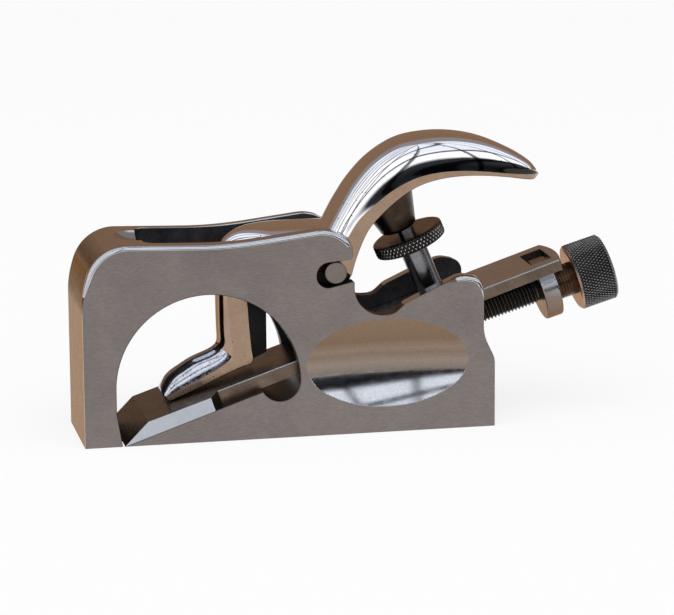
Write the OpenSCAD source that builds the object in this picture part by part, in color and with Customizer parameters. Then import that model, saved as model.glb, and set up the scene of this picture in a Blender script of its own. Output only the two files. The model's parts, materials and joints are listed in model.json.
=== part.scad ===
// Bullnose plane: a short-nosed rebate plane with a full-width iron at a low angle.
// A curved lever cap pivots on a pin that hooks into both cheeks, a knurled screw under
// its handle tightens it, and a knurled knob behind the heel advances the iron.
// Millimetres. Inside the modules x runs from the toe to the heel and z up from the sole;
// the finished part has its origin at the centre of the sole, +X to the heel, +Z up.

/* [Body] */
// Length of the sole
body_l = 101.6; // [96:0.2:110]
// Width of the sole and of the cutting edge
body_w = 27; // [25:0.5:32]
// Height of the toe end of the top edge
toe_h = 49.6; // [48:0.2:52]
// Height of the hump over the hooked slots
hump_h = 51.4; // [50.4:0.2:53]
// Thickness of each cheek beside the open middle
cheek_t = 3.4; // [2.8:0.1:4]
// Radius of the eye, the large round opening through both cheeks
eye_r = 22.57; // [21:0.1:23]
// Distance from the toe to the centre of the eye
eye_x = 30.5; // [30:0.1:31.5]
// Height of the centre of the eye
eye_z = 13.84; // [13.2:0.1:14.6]
// Radius of the lobe at the lower back corner of the eye
lobe_r = 4.95; // [4:0.05:5.4]
// Distance from the toe to the mouth, along the sole
mouth_x = 9.25; // [8.6:0.05:9.3]
// Distance from the toe to the front end of the open top slot
top_slot_x = 15.8; // [15:0.1:18]
// Depth of the thumb dimple in each side
dimple_d = 2.7; // [1.2:0.1:3]
// Length of the thumb dimple
dimple_l = 40.4; // [34:0.2:42]
// Height of the thumb dimple
dimple_h = 22; // [18:0.2:22.4]

/* [Iron] */
// Angle of the bed that the iron lies on
bed_angle = 18.9; // [18.6:0.05:19.2]
// Thickness of the iron at its cutting end
iron_t = 3.65; // [3.2:0.05:3.8]
// Thickness of the iron at its back end
iron_t_end = 2.7; // [2.4:0.05:3]
// Length of the iron along its bed
iron_l = 117.6; // [117:0.1:119]
// Length of the full-width front of the iron
iron_front_l = 23.5; // [22:0.1:25]
// Gap between the tang of the iron and each cheek
tang_gap = 0.3; // [0.2:0.05:0.5]
// Angle of the cutting bevel, on the top of the iron
bevel_angle = 26.6; // [25:0.1:30]
// Length of the window near the back end of the iron
window_l = 5.5; // [5.3:0.1:6]
// Width of the window
window_w = 11.5; // [11.4:0.1:13]
// Distance from the middle of the window to the back end of the iron
window_back = 5.09; // [4.6:0.05:5.6]

/* [Lever cap] */
// Diameter of the pin that the lever cap turns on
pin_d = 5.4; // [4.8:0.1:5.6]
// Distance from the toe to the pin
pin_x = 62.04; // [61.6:0.1:62.4]
// Height of the pin
pin_z = 40.24; // [40:0.1:40.5]
// Gap between the lever cap and each cheek
lever_gap = 0.5; // [0.3:0.05:0.8]
// Width of the narrow leg and foot of the lever cap
leg_w = 8.4; // [7:0.2:10]
// Thickness of the rib behind the leg
rib_t = 5; // [4:0.2:6.5]
// Gap between the toe of the foot and the iron
foot_gap = 0.15; // [0.1:0.05:0.3]

/* [Clamp screw] */
// Diameter of the screw thread
clamp_thread_d = 4.3; // [3.8:0.1:4.8]
// Diameter of the shank below the wheel
shank_d = 6.65; // [6:0.05:7.4]
// Diameter of the knurled wheel
wheel_d = 18.1; // [16:0.1:19]
// Thickness of the knurled wheel
wheel_t = 3.5; // [3:0.1:4]
// Tilt of the clamp screw from upright, its foot towards the heel
clamp_tilt = 22.7; // [22:0.1:23.4]

/* [Adjuster] */
// Diameter of the adjuster thread
adjuster_thread_d = 6.2; // [5.6:0.1:6.4]
// Length of adjuster thread that is screwed into the heel
thread_in = 23.8; // [18:0.2:26]
// Slope of the adjuster
adjuster_angle = 16.7; // [16.4:0.1:17]
// Diameter of the collar that drives the iron
collar_d = 15.3; // [15:0.05:15.4]
// Thickness of the collar
collar_t = 4.3; // [3.8:0.1:4.5]
// Diameter of the knurled knob
knob_d = 16.7; // [15:0.1:18]
// Length of the knurled part of the knob
knob_l = 9.7; // [8:0.1:12]
// Diameter of the hub between the knob and the collar
hub_d = 8.3; // [7.6:0.1:9]
// Length of the hub between the knob and the collar
hub_l = 4.9; // [4.5:0.1:6]

/* [Hidden] */

$fn = 96;
slack = 0.05;             // radial clearance of a running fit
over = 1;                 // how far a cutter runs past the face that it cuts
arc_step = 6;             // degrees in each step of a rounded corner

// Widths of the middle, from the cheeks inwards
cavity_w = body_w - 2 * cheek_t;
lever_w = cavity_w - 2 * lever_gap;
tang_w = cavity_w - 2 * tang_gap;

// The bed rises from just behind the mouth
bed_x = mouth_x + 0.34;
bed_lip = 0.12;           // thickness that the bed keeps at its front edge
function bed_z(x) = (x - bed_x) * tan(bed_angle);

// The iron lies on the bed, its edge in the mouth
edge_x = mouth_x + 0.5;
edge_z = bed_z(edge_x);
taper = (iron_t - iron_t_end) / iron_l;
bevel_l = iron_t / tan(bevel_angle);
top_angle = bed_angle - atan(taper);
function iron_top_z(x) = edge_z + (iron_t + taper * bevel_l) / cos(bed_angle)
    + (x - edge_x) * tan(top_angle);

// The clamp screw, from the middle of its wheel: s runs up along its axis
wheel_behind = 20.96;     // how far the middle of the wheel lies behind the pin
wheel_above = 5.09;       // and above it
wheel_x = pin_x + wheel_behind;
wheel_z = pin_z + wheel_above;
clamp_foot_gap = 0.12;
clamp_foot = (wheel_z - iron_top_z(wheel_x))
    / (cos(clamp_tilt) + sin(clamp_tilt) * tan(top_angle)) - clamp_foot_gap;

// The adjuster runs under the bed, from the front face of its collar. The rim of the
// collar stands in the window of the iron, which sets how far back the collar lies.
window_u = iron_l - window_back;
collar_below = 5.62;      // the middle of the collar's front face, below the bed
rim_in = 1.15;            // how far below the top of its rim the collar meets the iron
rim_reach = collar_d / 2 - rim_in;
rim_behind = collar_t / 2 * cos(adjuster_angle) - rim_reach * sin(adjuster_angle);
rim_above = collar_t / 2 * sin(adjuster_angle) + rim_reach * cos(adjuster_angle);
collar_x = edge_x + cos(bed_angle)
    * (window_u - rim_behind * cos(bed_angle) - (rim_above - collar_below) * sin(bed_angle));
collar_z = bed_z(collar_x) - collar_below;

// The back of the heel, which the adjuster is screwed into
heel_step = 2.8;
rear_x = body_l - heel_step;
adjuster_l = (collar_x - rear_x) / cos(adjuster_angle) + thread_in;

// Corner points with a radius each, made into a path with round corners
function unit(v) = v / norm(v);
function corner_arc(a, b, c) =
    b[2] <= 0 ? [[b[0], b[1]]] :
    let (p = [b[0], b[1]],
         to_a = unit([a[0], a[1]] - p),
         to_c = unit([c[0], c[1]] - p),
         half = acos(to_a * to_c) / 2,
         reach = b[2] / tan(half),
         centre = p + unit(to_a + to_c) * b[2] / sin(half),
         first = p + to_a * reach - centre,
         last = p + to_c * reach - centre,
         start = atan2(first[1], first[0]),
         turn = atan2(first[0] * last[1] - first[1] * last[0], first * last),
         steps = max(1, ceil(abs(turn) / arc_step)))
    [for (i = [0 : steps])
        centre + b[2] * [cos(start + turn * i / steps), sin(start + turn * i / steps)]];
function rounded(pts) =
    let (n = len(pts))
    [for (i = [0 : n - 1]) each corner_arc(pts[(i + n - 1) % n], pts[i], pts[(i + 1) % n])];

// A smooth run of rows through the rows given, with a number of steps between each two
function between(a, b, c, d, t) =
    (2 * b + (c - a) * t + (2 * a - 5 * b + 4 * c - d) * t * t
     + (3 * b - 3 * c + d - a) * t * t * t) / 2;
function smooth(rows, steps) =
    let (last = len(rows) - 1)
    [for (i = [0 : last - 1])
        for (k = [0 : (i == last - 1 ? steps : steps - 1)])
            between(rows[max(i - 1, 0)], rows[i], rows[i + 1], rows[min(i + 2, last)],
                    k / steps)];

// A side view, drawn in x and z, given a thickness about the middle of the plane
module across(w) {
    rotate([90, 0, 0])
        linear_extrude(w, center = true)
            children();
}

// Carries what is drawn from the toe to the part's own origin
module placed() {
    translate([-body_l / 2, 0, 0])
        children();
}

// A frame whose +Z runs along a line in the side view, at an angle above +X
module along(x, z, angle) {
    translate([x, 0, z])
        rotate([0, 90 - angle, 0])
            children();
}
module on_clamp() {
    along(wheel_x, wheel_z, 90 + clamp_tilt)
        children();
}
module on_adjuster() {
    along(collar_x, collar_z, adjuster_angle)
        children();
}

// Body

// The outline of a cheek, from the toe over the top, round the hooked slot and the
// rear notch, and down to the heel
hook_x = pin_x + 4.1;
throat_x = pin_x + 4.5;
slot_end_x = pin_x - 4.85;
notch_z = 29.35;
notch_l = 9.7;
rear_hump_z = 38.2;
heel_top = 17.1;
toe_corner = [3.7, toe_h];
dip = [eye_x + 5.5, toe_h - 1.1];
hump = [pin_x - 1.1, hump_h];
hook = [hook_x, hump_h - 3.9];
dip_reach = 8.3;          // how far the curve of the dip runs to each side
hump_reach = 3.78;        // and that of the hump
function reach_r(a, b, c, reach) = reach * tan(acos(unit(a - b) * unit(c - b)) / 2);
body_outline = [
    [0, 0, 0],
    [0, toe_h - 11.8, 28],
    [toe_corner[0], toe_corner[1], 10.5],
    [dip[0], dip[1], reach_r(toe_corner, dip, hump, dip_reach)],
    [hump[0], hump[1], reach_r(dip, hump, hook, hump_reach)],
    [hook[0], hook[1], 3.3],
    [hook_x, pin_z + 3.32, 0.9],
    [slot_end_x, pin_z + 2.42, 3.1],
    [slot_end_x, pin_z - 4.25, 2.9],
    [throat_x, pin_z - 2.2, 0.3],
    [throat_x, notch_z, 7.1],
    [throat_x + notch_l, notch_z, 4],
    [throat_x + notch_l + 3, notch_z + 2.7, 4],
    [rear_x - 5.7, rear_hump_z + 0.2, 5],
    [rear_x, rear_hump_z - 1, 3.2],
    [rear_x, heel_top + 5.9, 10],
    [body_l, heel_top, 6],
    [body_l, 0, 0]
];

// The eye: a round opening over the bed, a straight front wall down to the mouth,
// and a lobe that clears the shoulders of the iron
lobe_rise = 0.25;
eye_front_x = eye_x - eye_r;
eye_front_z = 8;
module eye() {
    difference() {
        union() {
            translate([eye_x, eye_z])
                circle(r = eye_r);
            polygon([[eye_front_x, eye_z], [eye_front_x, eye_front_z], [mouth_x, 0],
                     [mouth_x, -over], [bed_x + 2 * over, -over], [eye_x, eye_z]]);
        }
        polygon([[bed_x + bed_lip / tan(bed_angle), -2 * over],
                 [bed_x + bed_lip / tan(bed_angle), bed_lip],
                 [body_l, bed_z(body_l)], [body_l, -2 * over]]);
    }
    translate([eye_x + eye_r - lobe_r, eye_z + lobe_rise])
        circle(r = lobe_r);
}

// The open middle between the cheeks, above the bed, with round front corners
slot_corner_r = 3;
module cavity() {
    intersection() {
        across(body_w)
            polygon([[top_slot_x, bed_z(top_slot_x)], [top_slot_x, hump_h + over],
                     [body_l + over, hump_h + over], [body_l + over, bed_z(body_l + over)]]);
        linear_extrude(hump_h + 2 * over)
            union() {
                translate([top_slot_x + slot_corner_r, -cavity_w / 2])
                    square([body_l, cavity_w]);
                translate([top_slot_x, slot_corner_r - cavity_w / 2])
                    square([2 * slot_corner_r, cavity_w - 2 * slot_corner_r]);
                for (side = [-1, 1])
                    translate([top_slot_x + slot_corner_r,
                               side * (cavity_w / 2 - slot_corner_r)])
                        circle(r = slot_corner_r);
            }
    }
}

// The shallow scoop in the top, where the slot begins
scoop_r = 22;
scoop_depth = 1.9;
scoop_behind = 1.7;       // how far its middle lies behind the front end of the slot
module scoop() {
    translate([top_slot_x + scoop_behind, 0, toe_h - scoop_depth + scoop_r])
        sphere(r = scoop_r);
}

// A thumb dimple: a barrel-shaped cutter that dips into the side
dimple_x = pin_x + 12.7;
dimple_z = 17.4;
barrel_r = (pow(dimple_h / 2, 2) + pow(dimple_d, 2)) / (2 * dimple_d);
barrel_arc = (pow(dimple_l / 2, 2) + pow(dimple_d, 2)) / (2 * dimple_d);
module dimple() {
    translate([dimple_x, barrel_r - dimple_d + body_w / 2, dimple_z])
        rotate([0, 90, 0])
            rotate_extrude($fn = 180)
                intersection() {
                    translate([0, -dimple_l])
                        square([2 * barrel_r, 2 * dimple_l]);
                    translate([barrel_r - barrel_arc, 0])
                        circle(r = barrel_arc, $fn = 240);
                }
}

// The heel is bored along the adjuster for the thread, a little deeper than it reaches
bore_spare = 2.4;
module body() {
    color("darkgray")
        placed()
            difference() {
                across(body_w)
                    polygon(rounded(body_outline));
                across(body_w + 2 * over)
                    eye();
                cavity();
                scoop();
                dimple();
                mirror([0, 1, 0])
                    dimple();
                on_adjuster()
                    translate([0, 0, -adjuster_l - bore_spare])
                        cylinder(d = adjuster_thread_d + 2 * slack, h = adjuster_l + bore_spare);
            }
}

// Iron

// Plan: full width in front, slanted shoulders, a narrower tang with a bowed end
shoulder_l = 2.4;
end_bow = 1.4;
end_r = (pow(tang_w / 2, 2) + pow(end_bow, 2)) / (2 * end_bow);
module iron_plan() {
    intersection() {
        polygon([[-over, -body_w / 2], [iron_front_l, -body_w / 2],
                 [iron_front_l + shoulder_l, -tang_w / 2], [iron_l, -tang_w / 2],
                 [iron_l, tang_w / 2], [iron_front_l + shoulder_l, tang_w / 2],
                 [iron_front_l, body_w / 2], [-over, body_w / 2]]);
        union() {
            translate([-over, -body_w / 2])
                square([iron_l / 2, body_w]);
            intersection() {
                translate([iron_l - end_r, 0])
                    circle(r = end_r, $fn = 240);
                translate([iron_l / 2 - 2 * over, -tang_w / 2])
                    square([iron_l, tang_w]);
            }
            translate([iron_l / 2 - 2 * over, -tang_w / 2])
                square([iron_l / 2 - end_bow, tang_w]);
        }
    }
}

// The window that the rim of the collar stands in
module window_plan() {
    translate([window_u - window_l / 2, -window_w / 2])
        square([window_l, window_w]);
}

module iron() {
    color("tan")
        placed()
            translate([edge_x, 0, edge_z])
                rotate([0, -bed_angle, 0])
                    difference() {
                        intersection() {
                            across(body_w)
                                polygon([[0, 0], [bevel_l, iron_t], [iron_l, iron_t_end],
                                         [iron_l, 0]]);
                            linear_extrude(iron_t)
                                iron_plan();
                        }
                        translate([0, 0, -over])
                            linear_extrude(iron_t + 2 * over)
                                window_plan();
                    }
}

// Lever cap

// A row of the casting: a point on its underside, a point on its crest, half its width
// there, and the height of the flat strip along each side, below the dome.
// Handle rows are measured from the pin, from the tip down into the arm.
half_lever = lever_w / 2;
half_arm = half_lever - 0.15;
half_leg = leg_w / 2;
handle_rows = [
    [53.0, 19.4, 53.6, 20.4, half_lever - 8.1, 0.5],
    [51.5, 19.2, 52.4, 22.2, half_lever - 5.6, 0.8],
    [48.5, 19.8, 50.3, 24.3, half_lever - 3.4, 1.0],
    [43.5, 20.8, 45.8, 27.1, half_lever - 1.6, 1.4],
    [38.0, 21.5, 39.6, 29.8, half_lever - 0.6, 2.2],
    [32.0, 21.7, 32.5, 31.4, half_lever - 0.1, 2.6],
    [26.3, 21.1, 25.0, 31.6, half_lever, 2.9],
    [21.2, 19.6, 17.7, 30.2, half_lever, 3.1],
    [16.5, 16.8, 11.0, 26.2, half_lever, 3.2],
    [12.3, 13.2, 6.0, 21.0, half_lever, 3.4],
    [9.2, 9.8, 2.5, 15.8, half_lever, 3.6],
    [7.2, 6.0, 0.0, 11.4, half_lever, 4.0],
    [5.6, 1.8, -1.5, 8.3, half_lever, 4.4],
    [4.6, -1.7, -2.5, 4.8, half_lever, 4.6]
];

// Arm and leg rows are measured from the pin too, from over it down to the elbow, and
// foot rows from the edge of the foot that bears on the iron
foot_ahead = 39.54;       // how far the bearing edge of the foot lies ahead of the pin
foot_x = pin_x - foot_ahead;
foot_z = iron_top_z(foot_x) + foot_gap;
function from_foot(x, z, crest_x, crest_z, half, strip) =
    [foot_x + x - pin_x, foot_z + z - pin_z, foot_x + crest_x - pin_x,
     foot_z + crest_z - pin_z, half, strip];
arm_rows = [
    [2.5, 0.8, 2.5, 10.4, half_arm, 5.6],
    [-2.0, -0.2, -2.0, 10.8, half_arm, 6.9],
    [-8.0, -0.7, -8.0, 10.8, half_arm, 7.4],
    [-14.0, -1.4, -14.0, 10.7, half_arm - 0.2, 7.6],
    [-17.5, -2.6, -19.5, 10.2, half_arm - 2.4, 8.0],
    [-19.7, -4.7, -23.4, 8.8, half_leg + 0.8, 9.0],
    [-20.3, -7.2, -26.2, 6.1, half_leg, 10.0],
    [-20.1, -10.2, -27.4, 1.8, half_leg, 10.0],
    [-19.9, -13.2, -27.5, -4.2, half_leg, 8.4],
    [-19.6, -16.4, -27.5, -10.2, half_leg, 6.6],
    [-19.3, -19.7, -27.4, -15.2, half_leg, 6.0],
    from_foot(20.45, 8.74, 12.2, 14.04, half_leg, 6.0),
    from_foot(17.5, 7.48, 11.6, 12.74, half_leg, 3.6),
    from_foot(13.5, 5.8, 9.9, 11.6, half_leg, 2.4),
    from_foot(8.5, 3.6, 5.7, 9.9, half_leg, 2.0),
    from_foot(5.5, 2.3, 2.8, 8.2, half_leg, 1.9),
    from_foot(3.0, 1.28, 0.5, 6.7, half_leg, 1.8),
    from_foot(1.3, 0.55, -0.9, 5.3, half_leg - 0.1, 1.6),
    from_foot(0, 0, -1.9, 3.6, half_leg - 0.2, 1.4),
    from_foot(-0.7, 0.25, -2.3, 2.45, half_leg - 0.3, 1.0),
    from_foot(-1.3, 0.65, -2.0, 1.45, half_leg - 0.5, 0.4)
];

// Rows made solid: a flat underside, flat sides up to the strip, and a dome over them
dome_steps = 12;
row_steps = 3;
function section(row) =
    let (foot = [row[0], 0, row[1]],
         rise = [row[2] - row[0], 0, row[3] - row[1]],
         strip = row[5] / norm(rise))
    [foot + [0, -row[4], 0],
     for (k = [0 : dome_steps])
         let (a = 180 * k / dome_steps)
         foot + rise * (strip + (1 - strip) * sin(a)) + [0, -row[4] * cos(a), 0],
     foot + [0, row[4], 0]];
module loft(rows) {
    n = dome_steps + 3;
    m = len(rows);
    polyhedron(
        points = [for (row = rows) each section(row)],
        faces = [
            [for (k = [0 : n - 1]) k],
            [for (k = [n - 1 : -1 : 0]) (m - 1) * n + k],
            for (i = [0 : m - 2])
                for (k = [0 : n - 1])
                    let (a = i * n + k, b = i * n + (k + 1) % n)
                    each [[a, a + n, b], [b, a + n, b + n]]
        ]);
}

// The rib stands behind the leg and runs up under the arm
module rib() {
    across(rib_t)
        translate([pin_x, pin_z])
            polygon(rounded([[-21, -21.5, 0], [-15.4, -19.2, 2.2], [-15.4, -7, 8],
                             [-10, 1, 0], [-22, 1, 0]]));
}

// The boss under the handle is a cone that the clamp screw threads into. Its centre
// stands a little nearer the pin than the screw does.
boss_r = 4.75;
boss_corner = 0.6;
boss_z = 3.3;
boss_top = 14;
boss_flare = 14;
boss_shift = 1.2;
boss_bore = 13;
module boss() {
    on_clamp()
        translate([-boss_shift, 0, 0])
            rotate_extrude()
                polygon([[0, boss_z], [boss_r - boss_corner, boss_z],
                         [boss_r, boss_z + boss_corner],
                         [boss_r + (boss_top - boss_z) * tan(boss_flare), boss_top],
                         [0, boss_top]]);
}

// The eye of the casting round the pin stands a little inside the flat sides
barrel_wall = 2.05;
barrel_w = lever_w - 0.6;
module lever_cap() {
    color("lightsteelblue")
        placed()
            difference() {
                union() {
                    translate([pin_x, 0, pin_z]) {
                        loft(smooth(handle_rows, row_steps));
                        loft(smooth(arm_rows, row_steps));
                    }
                    across(barrel_w)
                        translate([pin_x, pin_z])
                            circle(d = pin_d + 2 * barrel_wall);
                    rib();
                    boss();
                }
                across(body_w)
                    translate([pin_x, pin_z])
                        circle(d = pin_d);
                on_clamp()
                    cylinder(d = clamp_thread_d + 2 * slack, h = boss_bore);
            }
}

module fulcrum_pin() {
    color("gray")
        placed()
            translate([pin_x, 0, pin_z])
                rotate([90, 0, 0])
                    cylinder(d = pin_d, h = body_w, center = true);
}

// Clamp screw: thread above, a shoulder under the wheel, a shank with a domed end
clamp_top = 10.5;
clamp_end_rise = 0.3;
module clamp_screw() {
    end_dome = (pow(shank_d / 2, 2) + pow(clamp_end_rise, 2)) / (2 * clamp_end_rise);
    color("dimgray")
        placed()
            on_clamp() {
                translate([0, 0, -wheel_t / 2])
                    cylinder(d = clamp_thread_d, h = clamp_top + wheel_t / 2);
                rotate_extrude()
                    intersection() {
                        translate([0, -clamp_foot])
                            square([shank_d / 2, clamp_foot - wheel_t / 2]);
                        translate([0, end_dome - clamp_foot])
                            circle(r = end_dome, $fn = 360);
                    }
            }
}

wheel_edge = 0.35;
module clamp_wheel() {
    color("slategray")
        placed()
            on_clamp()
                rotate_extrude()
                    polygon([[clamp_thread_d / 2 + slack, -wheel_t / 2],
                             [wheel_d / 2 - wheel_edge, -wheel_t / 2],
                             [wheel_d / 2, wheel_edge - wheel_t / 2],
                             [wheel_d / 2, wheel_t / 2 - wheel_edge],
                             [wheel_d / 2 - wheel_edge, wheel_t / 2],
                             [clamp_thread_d / 2 + slack, wheel_t / 2]]);
}

// Adjuster: the screw has a thread in front and a plain journal behind it, on which the
// collar runs and the knob is pressed
journal_d = 4.6;
knob_grip = 6;            // how far the journal reaches into the knurled part
journal_l = collar_t + hub_l + knob_grip;
thread_point = 1;
module adjuster_screw() {
    color("dimgray")
        placed()
            on_adjuster()
                rotate_extrude()
                    polygon([[0, -adjuster_l],
                             [adjuster_thread_d / 2 - thread_point, -adjuster_l],
                             [adjuster_thread_d / 2, thread_point - adjuster_l],
                             [adjuster_thread_d / 2, 0],
                             [journal_d / 2, 0],
                             [journal_d / 2, journal_l],
                             [0, journal_l]]);
}

collar_edge = 0.3;
module adjuster_collar() {
    color("silver")
        placed()
            on_adjuster()
                rotate_extrude()
                    polygon([[journal_d / 2 + slack, 0],
                             [collar_d / 2 - collar_edge, 0],
                             [collar_d / 2, collar_edge],
                             [collar_d / 2, collar_t - collar_edge],
                             [collar_d / 2 - collar_edge, collar_t],
                             [journal_d / 2 + slack, collar_t]]);
}

hub_play = 0.1;
knob_edge = 0.7;
module adjuster_knob() {
    knob_z = collar_t + hub_l;
    color("slategray")
        placed()
            on_adjuster()
                rotate_extrude()
                    polygon([[journal_d / 2, collar_t + hub_play],
                             [hub_d / 2, collar_t + hub_play],
                             [hub_d / 2, knob_z],
                             [knob_d / 2 - knob_edge, knob_z],
                             [knob_d / 2, knob_z + knob_edge],
                             [knob_d / 2, knob_z + knob_l - knob_edge],
                             [knob_d / 2 - knob_edge, knob_z + knob_l],
                             [0, knob_z + knob_l],
                             [0, journal_l],
                             [journal_d / 2, journal_l]]);
}

body();
iron();
lever_cap();
fulcrum_pin();
clamp_screw();
clamp_wheel();
adjuster_screw();
adjuster_collar();
adjuster_knob();
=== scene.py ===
# Bullnose plane: the looks of every piece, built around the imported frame.
# Side views are drawn in millimetres as (x, z), x from the toe to the heel and z up from the
# sole. A turned piece is drawn as (radius, distance along its axis).

import json
import math
from contextlib import contextmanager

import bmesh
import bpy
import numpy as np
from mathutils import Matrix, Vector

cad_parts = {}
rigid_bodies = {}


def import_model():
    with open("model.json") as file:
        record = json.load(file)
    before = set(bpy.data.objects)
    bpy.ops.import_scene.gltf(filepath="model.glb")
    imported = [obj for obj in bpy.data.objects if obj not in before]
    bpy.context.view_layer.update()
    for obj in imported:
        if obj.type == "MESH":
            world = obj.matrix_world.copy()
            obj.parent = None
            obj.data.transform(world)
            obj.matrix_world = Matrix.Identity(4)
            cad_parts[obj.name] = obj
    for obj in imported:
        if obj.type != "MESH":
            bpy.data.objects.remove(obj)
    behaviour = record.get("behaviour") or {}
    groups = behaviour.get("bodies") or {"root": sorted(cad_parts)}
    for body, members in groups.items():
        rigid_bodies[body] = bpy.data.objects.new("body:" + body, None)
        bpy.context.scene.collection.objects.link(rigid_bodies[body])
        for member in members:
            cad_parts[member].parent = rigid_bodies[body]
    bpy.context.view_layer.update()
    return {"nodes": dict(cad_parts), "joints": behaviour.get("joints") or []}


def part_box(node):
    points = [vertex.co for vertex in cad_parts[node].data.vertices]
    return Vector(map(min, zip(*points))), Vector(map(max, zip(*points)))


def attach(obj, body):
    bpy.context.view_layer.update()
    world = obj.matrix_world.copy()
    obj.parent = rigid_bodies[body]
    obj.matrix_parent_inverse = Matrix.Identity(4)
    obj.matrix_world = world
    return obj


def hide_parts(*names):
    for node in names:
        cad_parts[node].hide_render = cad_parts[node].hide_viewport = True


for leftover in list(bpy.data.objects):
    bpy.data.objects.remove(leftover, do_unlink=True)

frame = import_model()
MM = 0.001

# Places that come from the frame

JOINTS = {joint["name"]: joint for joint in frame["joints"]}
body_low, body_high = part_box("body")
toe = body_low.x
half_w = (body_high.y - body_low.y) / 2 / MM
body_l = (body_high.x - body_low.x) / MM


def in_side_view(point):
    """A point of the frame, in metres, as (x, z) in the side view."""
    return (point[0] - toe) / MM, point[2] / MM


pin_x, pin_z = in_side_view(JOINTS["lever_tilt"]["pos_m"])
slide = JOINTS["iron_slide"]["axis"]
bed_angle = math.atan2(slide[2], slide[0])


def turned_frame(joint_name):
    """The matrix whose z runs along a joint's axis, from millimetres into the frame."""
    joint = JOINTS[joint_name]
    tilt = math.atan2(joint["axis"][0], joint["axis"][2])
    place = Matrix.Translation(Vector(joint["pos_m"]))
    return place @ Matrix.Rotation(tilt, 4, "Y") @ Matrix.Scale(MM, 4)


def reach_below(node, joint_name):
    """How far a node's low end lies below a joint's place, along its axis, in millimetres."""
    joint = JOINTS[joint_name]
    place, axis = Vector(joint["pos_m"]), Vector(joint["axis"])
    spots = [v.co for v in frame["nodes"][node].data.vertices]
    return -min((p - place) @ axis for p in spots) / MM


SIDE_VIEW = Matrix.Translation((toe, 0, 0)) @ Matrix.Scale(MM, 4)
ON_CLAMP = turned_frame("wheel_turn")
ON_ADJUSTER = turned_frame("knob_turn")

# Sizes in millimetres, as on the part

CHEEK_T = 3.4
TOE_H = 49.6
HUMP_H = 51.4
EYE = (30.5, 13.84)
EYE_R = 22.57
EYE_FRONT_Z = 8
LOBE_R = 4.95
LOBE_RISE = 0.25
MOUTH_X = 9.25
BED_X = MOUTH_X + 0.34
BED_LIP = 0.12
TOP_SLOT_X = 15.8
SLOT_CORNER_R = 3
SCOOP_R = 9.8
SCOOP_DEPTH = 2.9
SCOOP_BEHIND = 0.3
DIMPLE = (pin_x + 12.7, 17.4)
DIMPLE_L = 40.4
DIMPLE_H = 22
DIMPLE_D = 2.7
PIN_D = 5.4
BARREL_WALL = 2.05
LEVER_GAP = 0.5
LEG_HALF = 4.2
RIB_T = 5
IRON_T = 3.65
IRON_T_END = 2.7
IRON_L = 117.6
IRON_FRONT_L = 23.5
SHOULDER_L = 2.4
TANG_GAP = 0.3
END_BOW = 1.4
BEVEL_ANGLE = math.radians(26.6)
WINDOW_L = 5.5
WINDOW_W = 11.5
WINDOW_BACK = 5.09
FOOT_AHEAD = 39.54
FOOT_GAP = 0.15
CLAMP_THREAD_D = 4.3
CLAMP_TOP = 10.5
SHANK_D = 6.65
WHEEL_D = 18.1
WHEEL_T = 3.5
ADJUSTER_THREAD_D = 6.2
THREAD_PITCH = 0.907
JOURNAL_D = 4.6
COLLAR_D = 15.3
COLLAR_T = 4.3
HUB_D = 8.3
HUB_L = 4.9
KNOB_D = 16.7
KNOB_L = 9.7
KNOB_GRIP = 6
RUNNING_GAP = 0.05
# How far a cutter reaches past what it cuts, and the radius at which a turned profile closes
OVER = 1
AXIS_R = 0.01

cavity_half = half_w - CHEEK_T
lever_half = cavity_half - LEVER_GAP
tang_half = cavity_half - TANG_GAP


def bed_z(x):
    return (x - BED_X) * math.tan(bed_angle)


EDGE_BEHIND = 0.5
edge_x = MOUTH_X + EDGE_BEHIND
edge_z = bed_z(edge_x)


def iron_top_z(x):
    """The height of the flat top of the iron at x."""
    taper = (IRON_T - IRON_T_END) / IRON_L
    bevel_l = IRON_T / math.tan(BEVEL_ANGLE)
    return (edge_z + (IRON_T + taper * bevel_l) / math.cos(bed_angle)
            + (x - edge_x) * math.tan(bed_angle - math.atan(taper)))


# Curves

LONGEST = 1.0


def corner_arc(before, corner, after, step):
    """The round corner of a path: corner is (x, z, radius)."""
    here = np.array(corner[:2], float)
    radius = corner[2]
    if radius <= 0:
        return [here]
    to_before = np.array(before[:2], float) - here
    to_after = np.array(after[:2], float) - here
    to_before /= np.linalg.norm(to_before)
    to_after /= np.linalg.norm(to_after)
    half = math.acos(float(to_before @ to_after)) / 2
    middle = to_before + to_after
    centre = here + middle / np.linalg.norm(middle) * radius / math.sin(half)
    first = here + to_before * radius / math.tan(half) - centre
    last = here + to_after * radius / math.tan(half) - centre
    start = math.atan2(first[1], first[0])
    turn = math.atan2(first[0] * last[1] - first[1] * last[0], float(first @ last))
    steps = max(2, math.ceil(abs(math.degrees(turn)) / step),
                math.ceil(abs(turn) * radius / LONGEST))
    angles = start + turn * np.arange(steps + 1) / steps
    return [centre + radius * np.array([math.cos(a), math.sin(a)]) for a in angles]


def rounded(points, step=3):
    count = len(points)
    path = []
    for i in range(count):
        path += corner_arc(points[i - 1], points[i], points[(i + 1) % count], step)
    return np.array(path)


def arc(centre, radius, start, end, steps):
    """Points on an arc, between two angles in radians."""
    angles = np.linspace(start, end, steps + 1)
    return [(centre[0] + radius * math.cos(a), centre[1] + radius * math.sin(a))
            for a in angles]


def circle(radius, steps):
    return arc((0, 0), radius, 0, -2 * math.pi, steps)[:-1]


def bow_radius(half_chord, rise):
    """The radius of an arc that rises so far over half its chord."""
    return (half_chord ** 2 + rise ** 2) / (2 * rise)


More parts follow.
